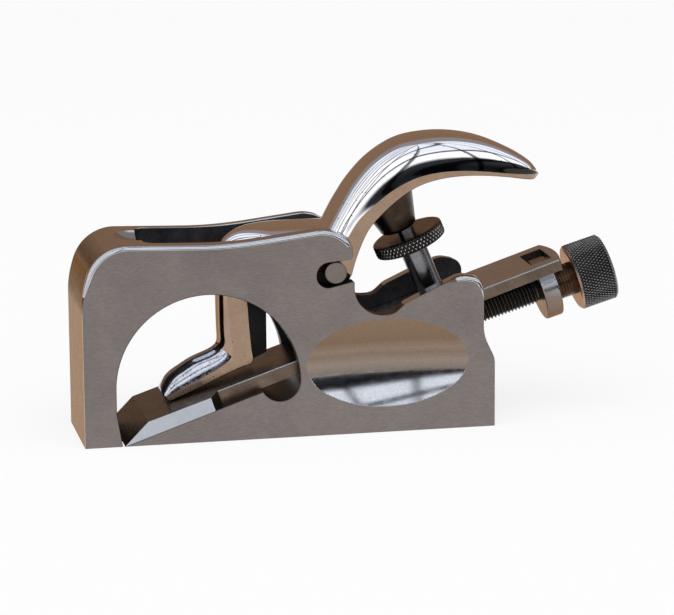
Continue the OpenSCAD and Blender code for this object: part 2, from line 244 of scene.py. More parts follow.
def smooth(rows, steps):
    """A smooth run of rows through the rows given."""
    rows = [np.array(row, float) for row in rows]
    last = len(rows) - 1
    out = []
    for i in range(last):
        a, b, c, d = rows[max(i - 1, 0)], rows[i], rows[i + 1], rows[min(i + 2, last)]
        for k in range(steps + (i == last - 1)):
            t = k / steps
            out.append((2 * b + (c - a) * t + (2 * a - 5 * b + 4 * c - d) * t * t
                        + (3 * b - 3 * c + d - a) * t ** 3) / 2)
    return out


def inward(path):
    """The mitred inward normal at each point of a closed path that runs clockwise."""
    forward = np.roll(path, -1, axis=0) - path
    forward /= np.linalg.norm(forward, axis=1)[:, None]
    normals = np.stack([forward[:, 1], -forward[:, 0]], axis=1)
    both = normals + np.roll(normals, 1, axis=0)
    both /= np.linalg.norm(both, axis=1)[:, None]
    lean = np.clip((both * normals).sum(axis=1), 0.5, 1)
    return both / lean[:, None]


# Meshes

WELD = 1e-7


@contextmanager
def edited(mesh):
    """The mesh opened for editing, and written back afterwards."""
    bm = bmesh.new()
    bm.from_mesh(mesh)
    yield bm
    bm.to_mesh(mesh)
    bm.free()


def link(name, data):
    """A new object in the scene that holds the data."""
    made = bpy.data.objects.new(name, data)
    bpy.context.scene.collection.objects.link(made)
    return made


def new_object(name, points, faces, matrix, materials, face_slots=None):
    """A mesh object from points in millimetres. It sits at the origin of the frame."""
    mesh = bpy.data.meshes.new(name)
    mesh.from_pydata([tuple(matrix @ Vector(p)) for p in points], [], faces)
    for material in materials:
        mesh.materials.append(material)
    if face_slots is not None:
        mesh.polygons.foreach_set("material_index", face_slots)
    with edited(mesh) as bm:
        bmesh.ops.remove_doubles(bm, verts=bm.verts, dist=WELD)
        bmesh.ops.recalc_face_normals(bm, faces=bm.faces)
    return link(name, mesh)


def rings_to_faces(rings, size, ends=True):
    """Quads between rings of points, with an end face on the first and the last."""
    faces = []
    for i in range(rings - 1):
        for k in range(size):
            a, b = i * size + k, i * size + (k + 1) % size
            faces.append((a, b, b + size, a + size))
    if ends:
        faces.append(tuple(range(size))[::-1])
        faces.append(tuple((rings - 1) * size + k for k in range(size)))
    return faces


def cut_or_join(piece, tools, operation):
    """Cuts the tools from a piece, or joins them to it, and takes the tools away."""
    for tool in tools:
        modifier = piece.modifiers.new(operation.lower(), "BOOLEAN")
        modifier.operation = operation
        modifier.solver = "EXACT"
        modifier.material_mode = "TRANSFER"
        modifier.object = tool
    bpy.context.view_layer.update()
    graph = bpy.context.evaluated_depsgraph_get()
    result = bpy.data.meshes.new_from_object(piece.evaluated_get(graph))
    piece.modifiers.clear()
    piece.data = result
    for tool in tools:
        bpy.data.objects.remove(tool, do_unlink=True)


def finish_piece(piece, body, node, sharp=28, bevel=0, creases=()):
    """Smooth shading with sharp creases, and the piece's place in the table.

    There is a crease wherever faces meet at more than the sharp angle, in degrees, or have
    the two finishes of a pair in creases.
    """
    mesh = piece.data
    mesh.shade_smooth()
    mesh.set_sharp_from_angle(angle=math.radians(sharp))
    if creases:
        with edited(mesh) as bm:
            for edge in bm.edges:
                if {face.material_index for face in edge.link_faces} in creases:
                    edge.smooth = False
    if bevel:
        soften = piece.modifiers.new("edges", "BEVEL")
        soften.width = bevel * MM
        soften.segments = 3
        soften.limit_method = "ANGLE"
        soften.angle_limit = math.radians(sharp)
        soften.harden_normals = True
    weigh = piece.modifiers.new("normals", "WEIGHTED_NORMAL")
    weigh.keep_sharp = True
    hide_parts(node)
    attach(piece, body)


def turned(name, profile, matrix, materials, steps=128, hole=False):
    """A turned piece: profile is a list of (radius, distance).

    It closes on the axis, or on itself where the piece has a hole.
    """
    angles = [2 * math.pi * k / steps for k in range(steps)]
    points = [(radius * math.cos(a), radius * math.sin(a), distance)
              for radius, distance in profile for a in angles]
    return new_object(name, points, rings_to_faces(len(profile), steps, not hole), matrix,
                      materials)


def prism(name, path, y_low, y_high, matrix, materials, flare=0):
    """A straight prism across the plane. Its ends may flare by a small chamfer."""
    path = np.array(path, float)
    out = -inward(path) * flare
    rows = [(y_low, 0), (y_high, 0)]
    if flare:
        rows = [(y_low - flare, 1), (y_low, 0), (y_high, 0), (y_high + flare, 1)]
    points = [(p[0], y, p[1]) for y, share in rows for p in path + out * share]
    face_slots = None
    if flare:
        rim = [len(materials) - 1] * len(path)
        face_slots = rim + [0] * len(path) + rim + [0, 0]
    return new_object(name, points, rings_to_faces(len(rows), len(path)), matrix, materials,
                      face_slots)


# Materials

EVEN = (1, 1, 1)
LENGTHWISE = (0.3, 1, 1)
CROSSWISE = (1, 0.3, 1)
UPRIGHT = (1, 1, 0.2)
# How dark a pit is, and the shares of its radius between which it fades
PIT_DARK = 0.06
PIT_FROM = 0.6
PIT_TO = 1.3


def tree_of(name):
    material = bpy.data.materials.new(name)
    material.use_nodes = True
    return material, material.node_tree


def add(tree, kind, **values):
    """A node with its settings, and its input values by socket name."""
    node = tree.nodes.new(kind)
    for key, value in values.pop("inputs", {}).items():
        node.inputs[key].default_value = value
    for key, value in values.items():
        setattr(node, key, value)
    return node


def feed(tree, socket, value):
    """Sets a socket to a number or a colour, or links it to an output."""
    if isinstance(value, (int, float)):
        socket.default_value = value
    elif isinstance(value, tuple):
        socket.default_value = (*value, 1)
    else:
        tree.links.new(value, socket)


def coords(tree, stretch=EVEN):
    """The place on the piece in millimetres, stretched along each axis."""
    where = add(tree, "ShaderNodeTexCoord")
    scale = add(tree, "ShaderNodeMapping")
    scale.inputs["Scale"].default_value = [s / MM for s in stretch]
    tree.links.new(where.outputs["Object"], scale.inputs["Vector"])
    return scale.outputs["Vector"]


def noise(tree, scale, detail=3, stretch=EVEN):
    node = add(tree, "ShaderNodeTexNoise",
               inputs={"Scale": scale, "Detail": detail, "Roughness": 0.5})
    tree.links.new(coords(tree, stretch), node.inputs["Vector"])
    return node.outputs["Fac"]


def ramp(tree, factor, stops):
    """A colour ramp: stops are (place, colour or grey)."""
    node = add(tree, "ShaderNodeValToRGB")
    elements = node.color_ramp.elements
    while len(elements) < len(stops):
        elements.new(1)
    for element, (place, value) in zip(elements, stops):
        element.position = place
        colour = value if isinstance(value, tuple) else (value,) * 3
        element.color = (*colour, 1)
    tree.links.new(factor, node.inputs["Fac"])
    return node.outputs["Color"]


def mix(tree, factor, first, second, blend="MIX"):
    node = add(tree, "ShaderNodeMix", data_type="RGBA", blend_type=blend)
    for place, value in ((0, factor), (6, first), (7, second)):
        feed(tree, node.inputs[place], value)
    return node.outputs[2]


def multiply(tree, first, second):
    """One colour multiplied by another."""
    return mix(tree, 1, first, second, "MULTIPLY")


def math_node(tree, operation, first, second=0.0):
    node = add(tree, "ShaderNodeMath", operation=operation)
    for socket, value in zip(node.inputs, (first, second)):
        feed(tree, socket, value)
    return node.outputs[0]


def part_of(tree, vector, axis):
    """One coordinate of a vector."""
    split = add(tree, "ShaderNodeSeparateXYZ")
    tree.links.new(vector, split.inputs[0])
    return split.outputs[axis]


def spread(low, high):
    """Stops that keep noise between two values."""
    return [(0.3, low), (0.7, high)]


def metal(name, colour, roughness, grain=3, height=0.008, stretch=EVEN, edge=None, patches=0.5):
    """A metal with a fine grain, whose height is in millimetres.

    The colour is a function that builds it in the tree. The edge is the tint of what the metal
    mirrors at a grazing angle, as a colour or such a function. The roughness is a number, or
    two that it varies between in patches.
    """
    material, tree = tree_of(name)
    shader = tree.nodes["Principled BSDF"]
    shader.inputs["Metallic"].default_value = 1
    feed(tree, shader.inputs["Base Color"], colour(tree))
    if edge:
        feed(tree, shader.inputs["Specular Tint"], edge(tree) if callable(edge) else edge)
    if isinstance(roughness, tuple):
        roughness = ramp(tree, noise(tree, patches, 4), spread(*roughness))
    feed(tree, shader.inputs["Roughness"], roughness)
    bump = add(tree, "ShaderNodeBump", inputs={"Strength": 1, "Distance": height * MM})
    tree.links.new(noise(tree, grain, 4, stretch), bump.inputs["Height"])
    tree.links.new(bump.outputs["Normal"], shader.inputs["Normal"])
    return material


def worn(dark, light, scale=0.12, fine=3.0, stretch=EVEN, fine_share=0.35):
    """Cloudy colour between two tones, with finer mottling in it."""
    def build(tree):
        cloud = noise(tree, scale, 4)
        mottling = noise(tree, fine, 3, stretch)
        return ramp(tree, mix(tree, fine_share, cloud, mottling), spread(dark, light))
    return build


def along(axis, stops, wobble=1.2):
    """Colour by the place along an axis of the side view: stops are (millimetres, colour)."""
    first = stops[0][0]
    span = stops[-1][0] - first
    origin = first + (toe / MM if axis == "X" else 0)

    def build(tree):
        cloud = math_node(tree, "SUBTRACT", noise(tree, 0.12, 3), 0.5)
        place = math_node(tree, "ADD", part_of(tree, coords(tree), axis),
                          math_node(tree, "MULTIPLY", cloud, 2 * wobble))
        share = math_node(tree, "DIVIDE", math_node(tree, "SUBTRACT", place, origin), span)
        colour = ramp(tree, share, [((at - first) / span, value) for at, value in stops])
        fine = ramp(tree, noise(tree, 2.5, 3, CROSSWISE), spread(0.86, 1.0))
        return multiply(tree, colour, fine)
    return build


def times(first, second):
    """The product of two colours that are built in the tree."""
    def build(tree):
        return multiply(tree, first(tree), second(tree))
    return build


def pitted(colour, cell=2.4, radius=0.07):
    """Sparse small dark pits over a colour."""
    def build(tree):
        cells = add(tree, "ShaderNodeTexVoronoi", inputs={"Scale": 1 / cell})
        tree.links.new(coords(tree), cells.inputs["Vector"])
        clear = ramp(tree, cells.outputs["Distance"],
                     [(radius * PIT_FROM, PIT_DARK), (radius * PIT_TO, 1.0)])
        return multiply(tree, colour(tree), clear)
    return build


def shaded_when_upright(colour, dark=0.045, steep=0.10, clear=0.15):
    """A polish with painted shade where the surface stands nearly upright."""
    def build(tree):
        where = add(tree, "ShaderNodeTexCoord")
        painted_shade = ramp(tree, part_of(tree, where.outputs["Normal"], "Z"),
                       [(steep, dark), (clear, 1.0)])
        return multiply(tree, colour(tree), painted_shade)
    return build


# Toe: painted reflection by height. It is tan low down, dark brown from 35.5 to 42 mm and near
# neutral at the top, with a warm grazing tint below 43 mm.
TOE_PAINTED_REFLECTION = [(0, (0.62, 0.50, 0.39)), (32.5, (0.60, 0.46, 0.34)), (35.5, (0.13, 0.078, 0.05)),
               (42, (0.11, 0.068, 0.048)), (43.6, (0.30, 0.20, 0.13)), (47.5, (0.54, 0.55, 0.575))]
TOE_PAINTED_TINTS = [(43, (0.50, 0.34, 0.22)), (47.8, (1.0, 1.0, 1.0))]
# Dimple: painted reflection by height. It is bluish grey at its lower edge and brown above, with
# darker bands.
DIMPLE_PAINTED_REFLECTION = [(13.2, (0.52, 0.55, 0.60)), (14.2, (0.40, 0.38, 0.38)),
                  (15.0, (0.24, 0.205, 0.18)), (17.2, (0.31, 0.245, 0.205)),
                  (19.2, (0.25, 0.185, 0.14)), (20.4, (0.29, 0.215, 0.16)),
                  (22.6, (0.23, 0.155, 0.105)), (28, (0.27, 0.18, 0.12))]
# Collar: painted reflection by height, brown below and bluish grey above.
COLLAR_PAINTED_REFLECTION = [(25, (0.22, 0.15, 0.11)), (30.5, (0.26, 0.20, 0.165)),
                  (32.6, (0.36, 0.36, 0.38)), (36, (0.42, 0.45, 0.50))]
# Lever side: painted shade from 13 mm to 1.2 mm ahead of the pin, deep between the cheeks.
PAINTED_SHADE_AT_PIN = [(pin_x - 15, 1.0), (pin_x - 13, 0.06), (pin_x - 1.2, 0.06), (pin_x - 0.2, 1.0)]
# Iron top: painted shade. It is darker under the body and lever and clears towards 78 mm.
IRON_SHADE = [(0, 0.40), (30, 0.31), (60, 0.29), (78, 1.0)]

GROUND_SIDE = metal(
    "ground_side",
    worn((0.205, 0.178, 0.168), (0.295, 0.256, 0.241), 0.1, 5, (0.2, 1, 1), 0.6),
    (0.38, 0.48), 5, 0.014, (0.2, 1, 1))
POLISHED_EDGE = metal("polished_edge", worn((0.50, 0.51, 0.535), (0.58, 0.59, 0.62)),
                      (0.07, 0.14), 2, 0.003, UPRIGHT)
# The toe's polish carries the painted reflection of its height bands.
POLISHED_TOE_PAINTED = metal("polished_toe_painted_reflection", along("Z", TOE_PAINTED_REFLECTION, 0.5), (0.14, 0.24), 1.2, 0.006,
                   CROSSWISE, along("Z", TOE_PAINTED_TINTS, 0.2))
# The dimple's polish carries the painted reflection of its height bands.
POLISHED_DIMPLE_PAINTED = metal("polished_dimple_painted_reflection", along("Z", DIMPLE_PAINTED_REFLECTION, 0.6), (0.09, 0.15), 1.2,
                      0.004, (0.15, 1, 1))
RIM_FINISH = metal("worn_rim", worn((0.11, 0.08, 0.06), (0.19, 0.14, 0.105)), 0.32, 3, 0.006,
                   CROSSWISE)
NOTCH_FINISH = metal("notch_wall", worn((0.028, 0.020, 0.016), (0.09, 0.058, 0.042), 0.3, 4),
                     (0.3, 0.42), 3, 0.02, CROSSWISE)
EYE_WALL = metal("eye_wall", worn((0.045, 0.038, 0.033), (0.09, 0.076, 0.066)), 0.42, 3, 0.02,
                 CROSSWISE)
BLACK_INSIDE = metal("black_inside", worn((0.020, 0.020, 0.022), (0.075, 0.074, 0.078), 0.2, 5),
                     (0.4, 0.58), 2.2, 0.16, patches=2)
# The lever's polish is darkened by painted shade where it stands nearly upright.
CHROME = metal("polished_lever", shaded_when_upright(pitted(worn((0.76, 0.76, 0.78), (0.82, 0.82, 0.84)))),
               (0.03, 0.06), 0.6, 0.004)
# The lever's sides are darkened ahead of the pin by painted shade.
LEVER_SIDE = metal("lever_side", times(along("X", PAINTED_SHADE_AT_PIN, 0.1), pitted(
    worn((0.35, 0.24, 0.165), (0.42, 0.295, 0.21), 0.15))), (0.22, 0.32))
# The leg's polished front is coloured tan with a warm grazing tint. This is painted reflection.
LEG_PAINTED_REFLECTION = metal("lever_leg_painted_reflection", pitted(worn((0.34, 0.235, 0.165), (0.40, 0.285, 0.205), 0.15)),
                  (0.08, 0.16), 1.5, 0.006, UPRIGHT, (0.6, 0.42, 0.3))
# The foot's polish is tinted bluish lavender as painted reflection. It has real pits and takes
# painted shade where it stands upright.
FOOT_PAINTED_REFLECTION = metal("lever_foot_painted_reflection", shaded_when_upright(pitted(pitted(
    worn((0.36, 0.38, 0.46), (0.62, 0.64, 0.72), 0.5)), 1.0, 0.16)), (0.06, 0.16), 1.4, 0.02)
LEVER_UNDER = metal("lever_under", worn((0.008, 0.008, 0.008), (0.024, 0.022, 0.021)), 0.45, 2,
                    0.06)
BOSS_FINISH = metal("boss", worn((0.022, 0.015, 0.011), (0.075, 0.052, 0.038), 0.4, 4),
                    (0.24, 0.36), 3, 0.02)
PIN_FINISH = metal("ground_pin", worn((0.19, 0.155, 0.14), (0.24, 0.2, 0.18)), (0.3, 0.42), 4,
                   0.01, (0.6, 1, 1))
# The iron's top is multiplied by the painted shade of IRON_SHADE.
IRON_FINISH = metal("ground_iron", times(along("X", IRON_SHADE), worn((0.52, 0.54, 0.57),
                                                                      (0.64, 0.66, 0.70))),
                    (0.24, 0.36), 4, 0.012, (0.25, 1, 1))
IRON_BEVEL = metal("iron_bevel", worn((0.05, 0.034, 0.026), (0.11, 0.08, 0.062)), (0.2, 0.3),
                   3, 0.008, (1, 0.2, 1))
IRON_SIDE = metal("iron_side", worn((0.48, 0.51, 0.56), (0.56, 0.59, 0.64)), (0.25, 0.35), 4,
                  0.008, LENGTHWISE)
ARRIS = metal("iron_arris", worn((0.30, 0.33, 0.38), (0.42, 0.46, 0.51)), 0.26, 3, 0.004,
              LENGTHWISE)
TANG_SIDE = metal("tang_side", worn((0.10, 0.072, 0.054), (0.21, 0.155, 0.115), 0.2, 3),
                  (0.26, 0.36), 4, 0.012, LENGTHWISE)
WINDOW_WALL = metal("window_wall", worn((0.03, 0.026, 0.022), (0.09, 0.07, 0.055)), 0.4, 3,
                    0.02, LENGTHWISE)
GUNMETAL = metal("dark_screw", worn((0.18, 0.18, 0.185), (0.29, 0.29, 0.30)), (0.18, 0.28))
WHEEL_FACE = metal("wheel_face", worn((0.10, 0.085, 0.072), (0.19, 0.16, 0.135)), (0.2, 0.3))
KNURL_TIP = metal("knurl_tip", worn((0.40, 0.40, 0.40), (0.62, 0.62, 0.62), 0.5, 2),
                  (0.16, 0.24), 3, 0.004)
# Knurl and thread grooves are near black with painted shade.
KNURL_GROOVE_SHADE = metal("dark_knurl", worn((0.022, 0.021, 0.020), (0.06, 0.056, 0.052)),
                   (0.25, 0.36), 3, 0.006)
THREAD_BLACK = metal("black_thread", worn((0.022, 0.019, 0.016), (0.06, 0.052, 0.045)),
                     (0.3, 0.42), 4, 0.01)
THREAD_CREST = metal("thread_crest", worn((0.08, 0.07, 0.058), (0.2, 0.18, 0.15), 0.6, 2),
                     (0.22, 0.3), 4, 0.006)
# The collar's polish carries the painted reflection of its height bands.
COLLAR_PAINTED = metal("bright_collar", along("Z", COLLAR_PAINTED_REFLECTION, 0.4), (0.18, 0.28), 3, 0.008,
                      (0.5, 1, 1), (0.74, 0.56, 0.44))
HUB_FINISH = metal("hub", worn((0.035, 0.018, 0.011), (0.13, 0.072, 0.045), 0.6, 5),
                   (0.2, 0.32), 3, 0.02)
KNOB_TIP = metal("knob_tip", worn((0.22, 0.22, 0.22), (0.38, 0.375, 0.37), 0.4, 2),
                 (0.2, 0.28), 3, 0.004)
# The knob's knurl grooves are near black with painted shade.
KNOB_GROOVE_SHADE = metal("knurled_knob", worn((0.02, 0.019, 0.018), (0.055, 0.052, 0.05)),
                    (0.24, 0.34), 3, 0.006)
KNOB_FACE = metal("knob_face", worn((0.40, 0.28, 0.21), (0.52, 0.38, 0.29)), (0.22, 0.32),
                  edge=(0.74, 0.55, 0.43))

# Body

hook_x = pin_x + 4.1
throat_x = pin_x + 4.5
slot_end_x = pin_x - 4.85
NOTCH_Z = 29.35
NOTCH_L = 9.7
HEEL_STEP = 2.8
rear_x = body_l - HEEL_STEP
REAR_HUMP_Z = 38.2
HEEL_TOP = 17.1
EDGE_R = 1.25
SMALL_EDGE = 0.12
BROAD_EDGE = 0.45
# The outer edge grows round up the toe, and back and up over the rear hump.
TOE_ROUND_Z = (34, 43)
HUMP_L = 16
HUMP_ROUND_X = (88.5, 93)
HUMP_ROUND_Z = (33, 36)
HOOK_Z = HUMP_H - 4.5
WALL_STEP = 2.5
EDGE_STEPS = 8
EYE_RIM_DEPTH = 0.15
EYE_RIM_FLARE = 0.2
SCOOP_ANGLE = math.radians(52)
DIMPLE_BEYOND = 0.6
BORE_SPAN = (-44, -8)
# The upper rim of the slot: its rounding, where it begins, how level and how sharp its edges
# are, and how near to the slot's flat and round walls a point counts as on them
RIM_ROUND = 0.26
RIM_Z = 44
RIM_LEVEL = 0.7
RIM_CREASE = 0.8
ON_FLAT = 0.02
ON_ROUND = 0.03

BODY_OUTLINE = [
    (0, 0, 0.2),
    (0, TOE_H - 11.8, 28),
    (3.7, TOE_H, 10.5),
    (EYE[0] + 5.5, TOE_H - 1.1, 110),
    (pin_x - 1.1, HUMP_H, 9.5),
    (hook_x, HUMP_H - 3.9, 3.3),
    (hook_x, pin_z + 3.32, 0.9),
    (slot_end_x, pin_z + 2.42, 3.1),
    (slot_end_x, pin_z - 4.25, 2.9),
    (throat_x, pin_z - 2.2, 0.3),
    (throat_x, NOTCH_Z, 7.1),
    (throat_x + NOTCH_L, NOTCH_Z, 4),
    (throat_x + NOTCH_L + 3, NOTCH_Z + 2.7, 4),
    (rear_x - 5.7, REAR_HUMP_Z + 0.2, 5),
    (rear_x, REAR_HUMP_Z - 1, 3.2),
    (rear_x, HEEL_TOP + 5.9, 10),
    (body_l, HEEL_TOP, 6),
    (body_l, 0, 0.2),
]


def rise_between(value, low, high):
    """0 below low, 1 above high, and smooth between them."""
    t = min(max((value - low) / (high - low), 0), 1)
    return t * t * (3 - 2 * t)


def edge_radius(x, z, index, turn_index):
    """How round the outer edge is: generous over the toe and top, and on the rear hump."""
    if index < turn_index:
        share = rise_between(z, *TOE_ROUND_Z)
    elif x > rear_x - HUMP_L:
        share = rise_between(x, *HUMP_ROUND_X) * rise_between(z, *HUMP_ROUND_Z)
    else:
        share = 0
    return SMALL_EDGE + (EDGE_R - SMALL_EDGE) * share


BODY_FINISHES = [GROUND_SIDE, POLISHED_EDGE, POLISHED_TOE_PAINTED, BLACK_INSIDE, NOTCH_FINISH,
                 RIM_FINISH]
GROUND, POLISHED, TOE, BLACK, NOTCH, RIM = range(len(BODY_FINISHES))

# Where the outline's wall isn't polished: from and to along x, from and to along z, and the
# finish. The first that holds a point counts.
WALL_ZONES = [
    (-OVER, body_l + OVER, -OVER, 0.05, GROUND),
    (rear_x - 0.5, body_l + OVER, 0, 34, GROUND),
    (-OVER, 6, 0, TOE_H + OVER, TOE),
    (slot_end_x - 0.1, hook_x - 0.05, pin_z - 4.3, pin_z + 3.4, BLACK),
    (throat_x - 0.1, throat_x + NOTCH_L + 2, 0, pin_z - 2.2, NOTCH),
]


def wall_finish(here, there):
    """The finish of the outline's wall between two points."""
    x, z = (here + there) / 2
    for x_low, x_high, z_low, z_high, finish in WALL_ZONES:
        if x_low < x < x_high and z_low < z < z_high:
            return finish
    return POLISHED


def edge_finish(wall, radius):
    """The finish of the rounded edge beside a wall."""
    broad = radius > BROAD_EDGE
    if wall in (BLACK, NOTCH) or wall == POLISHED and not broad:
        return RIM
    return POLISHED if broad else wall


def dense(path, longest):
    """Adds points on the long straight runs of a closed path."""
    out = []
    for here, there in zip(path, np.roll(path, -1, axis=0)):
        pieces = max(1, math.ceil(np.linalg.norm(there - here) / longest))
        out += [here + (there - here) * k / pieces for k in range(pieces)]
    return np.array(out)


def body_blank():
    """The outline across the full width, with its outer edges rounded."""
    path = dense(rounded(BODY_OUTLINE), WALL_STEP)
    normal = inward(path)
    hook_index = next(i for i, p in enumerate(path) if p[0] > pin_x and p[1] < HOOK_Z)
    radius = np.array([edge_radius(p[0], p[1], i, hook_index) for i, p in enumerate(path)])
    angles = np.linspace(math.pi / 2, 0, EDGE_STEPS + 1)
    rows = [(-1, a) for a in angles] + [(1, a) for a in angles[::-1]]
    points = []
    for side, a in rows:
        inset = (radius * (1 - math.cos(a)))[:, None] * normal
        y = side * (half_w - radius * (1 - math.sin(a)))
        points += [(q[0], y[i], q[1]) for i, q in enumerate(path + inset)]
    faces = rings_to_faces(len(rows), len(path))
    walls = [wall_finish(here, there) for here, there in zip(path, np.roll(path, -1, axis=0))]
    edges = [edge_finish(wall, size) for wall, size in zip(walls, radius)]
    slots = []
    for i in range(len(rows) - 1):
        slots += walls if i == EDGE_STEPS else edges
    slots += [GROUND, GROUND]
    return new_object("stock_casting", points, faces, SIDE_VIEW, BODY_FINISHES, slots)


def eye_cutter():
    front_x = EYE[0] - EYE_R
    lobe = (EYE[0] + EYE_R - LOBE_R, EYE[1] + LOBE_RISE)
    join = math.atan2(LOBE_RISE, EYE_R - LOBE_R)
    depth = (lobe[1] - bed_z(lobe[0])) * math.cos(bed_angle)
    reach = math.sqrt(LOBE_R ** 2 - depth ** 2)
    left = (depth * math.sin(bed_angle) - reach * math.cos(bed_angle),
            -depth * math.cos(bed_angle) - reach * math.sin(bed_angle))
    end = math.atan2(left[1], left[0])
    if end > join:
        end -= 2 * math.pi
    lip_x = BED_X + BED_LIP / math.tan(bed_angle)
    path = [(MOUTH_X, -OVER), (MOUTH_X, 0), (front_x, EYE_FRONT_Z)]
    path += arc(EYE, EYE_R, math.pi, join, 90)
    path += arc(lobe, LOBE_R, join, end, 48)[1:]
    path += [(lip_x, BED_LIP), (lip_x, -OVER)]
    return prism("eye_cutter", path, -half_w + EYE_RIM_DEPTH, half_w - EYE_RIM_DEPTH, SIDE_VIEW,
                 [EYE_WALL, RIM_FINISH], EYE_RIM_FLARE)


def cavity_cutter():
    corner = SLOT_CORNER_R
    y = cavity_half
    plan = [(body_l + OVER, -y)]
    plan += arc((TOP_SLOT_X + corner, -y + corner), corner, -math.pi / 2, -math.pi, 12)
    plan += arc((TOP_SLOT_X + corner, y - corner), corner, math.pi, math.pi / 2, 12)
    plan += [(body_l + OVER, y)]
    top = HUMP_H + 4 * OVER
    points = [(x, y, bed_z(x)) for x, y in plan] + [(x, y, top) for x, y in plan]
    return new_object("cavity_cutter", points, rings_to_faces(2, len(plan)), SIDE_VIEW,
                      [BLACK_INSIDE])


def scoop_cutter():
    """The lowest part of a ball, which hollows the top where the slot begins."""
    ball_z = TOE_H - SCOOP_DEPTH + SCOOP_R
    profile = [(max(SCOOP_R * math.sin(a), AXIS_R), -SCOOP_R * math.cos(a))
               for a in np.linspace(0, SCOOP_ANGLE, 40)]
    place = SIDE_VIEW @ Matrix.Translation((TOP_SLOT_X + SCOOP_BEHIND, 0, ball_z))
    return turned("scoop_cutter", profile, place, [POLISHED_EDGE], 120)


def dimple_cutter(side):
    """A barrel that dips into one side of the body."""
    lie = bow_radius(DIMPLE_H / 2, DIMPLE_D)
    bow = bow_radius(DIMPLE_L / 2, DIMPLE_D)
    centre_y = half_w - DIMPLE_D + lie
    columns, rows = 120, 72
    reach_x = DIMPLE_L / 2 + DIMPLE_BEYOND
    reach_a = math.asin((DIMPLE_H / 2 + DIMPLE_BEYOND) / lie)
    points = []
    for x in np.linspace(-reach_x, reach_x, columns + 1):
        r = lie - bow + math.sqrt(bow ** 2 - x ** 2)
        inner = [(DIMPLE[0] + x, side * (centre_y - r * math.cos(a)), DIMPLE[1] + r * math.sin(a))
                 for a in np.linspace(-reach_a, reach_a, rows + 1)]
        points += inner + [(p[0], side * (half_w + 5 * OVER), p[2]) for p in inner[::-1]]
    return new_object("dimple_cutter", points, rings_to_faces(columns + 1, 2 * (rows + 1)),
                      SIDE_VIEW, [POLISHED_DIMPLE_PAINTED])


def bore_cutter():
    r = ADJUSTER_THREAD_D / 2 + RUNNING_GAP
    return turned("bore_cutter", [(r, end) for end in BORE_SPAN], ON_ADJUSTER, [BLACK_INSIDE], 48)


def on_slot_wall(point):
    """Whether a point in millimetres lies on the wall of the top slot."""
    x, y = point.x - toe / MM, abs(point.y)
    corner_x = TOP_SLOT_X + SLOT_CORNER_R
    corner_y = cavity_half - SLOT_CORNER_R
    if x > corner_x:
        return abs(y - cavity_half) < ON_FLAT
    if y < corner_y:
        return abs(x - TOP_SLOT_X) < ON_FLAT
    return abs(math.hypot(x - corner_x, y - corner_y) - SLOT_CORNER_R) < ON_ROUND


def round_slot_rims(body):
    """Rounds the upper rim of the slot, which the polish has softened."""
    with edited(body.data) as bm:
        rims = []
        for edge in bm.edges:
            ends = [v.co / MM for v in edge.verts]
            level = abs(ends[0].z - ends[1].z) < RIM_LEVEL * (ends[0] - ends[1]).length
            on_wall = all(p.z > RIM_Z and on_slot_wall(p) for p in ends)
            if level and on_wall and edge.calc_face_angle(0) > RIM_CREASE:
                rims.append(edge)
        bmesh.ops.bevel(bm, geom=rims, offset=RIM_ROUND * MM, segments=3, affect="EDGES",
                        profile=0.5, material=POLISHED)


def make_body():
    body = body_blank()
    cut_or_join(body, [eye_cutter(), cavity_cutter(), scoop_cutter(), dimple_cutter(-1),
                       dimple_cutter(1), bore_cutter()], "DIFFERENCE")
    round_slot_rims(body)
    finish_piece(body, "stock", "body")


# Iron

TANG_ROUND = 0.26
TANG_CREASE = 1
# How near to an edge of the tang a point counts as on it
NEAR = 0.1


def round_tang(iron, place):
    """Rounds the upper edges of the tang, which hands and the cheeks have worn bright."""
    iron.data.materials.append(ARRIS)
    bright = len(iron.data.materials) - 1
    unplaced = place.inverted()
    with edited(iron.data) as bm:
        edges = []
        for edge in bm.edges:
            ends = [unplaced @ v.co for v in edge.verts]
            upper = all(p.z > IRON_T_END - 3 * NEAR for p in ends)
            behind = all(p.x > IRON_FRONT_L + SHOULDER_L - NEAR for p in ends)
            outer = all(abs(p.y) > tang_half - NEAR / 2 or p.x > IRON_L - END_BOW - NEAR
                        for p in ends)
            if upper and behind and outer and edge.calc_face_angle(0) > TANG_CREASE:
                edges.append(edge)
        bmesh.ops.bevel(bm, geom=edges, offset=TANG_ROUND * MM, segments=2, affect="EDGES",
                        profile=0.5, material=bright)


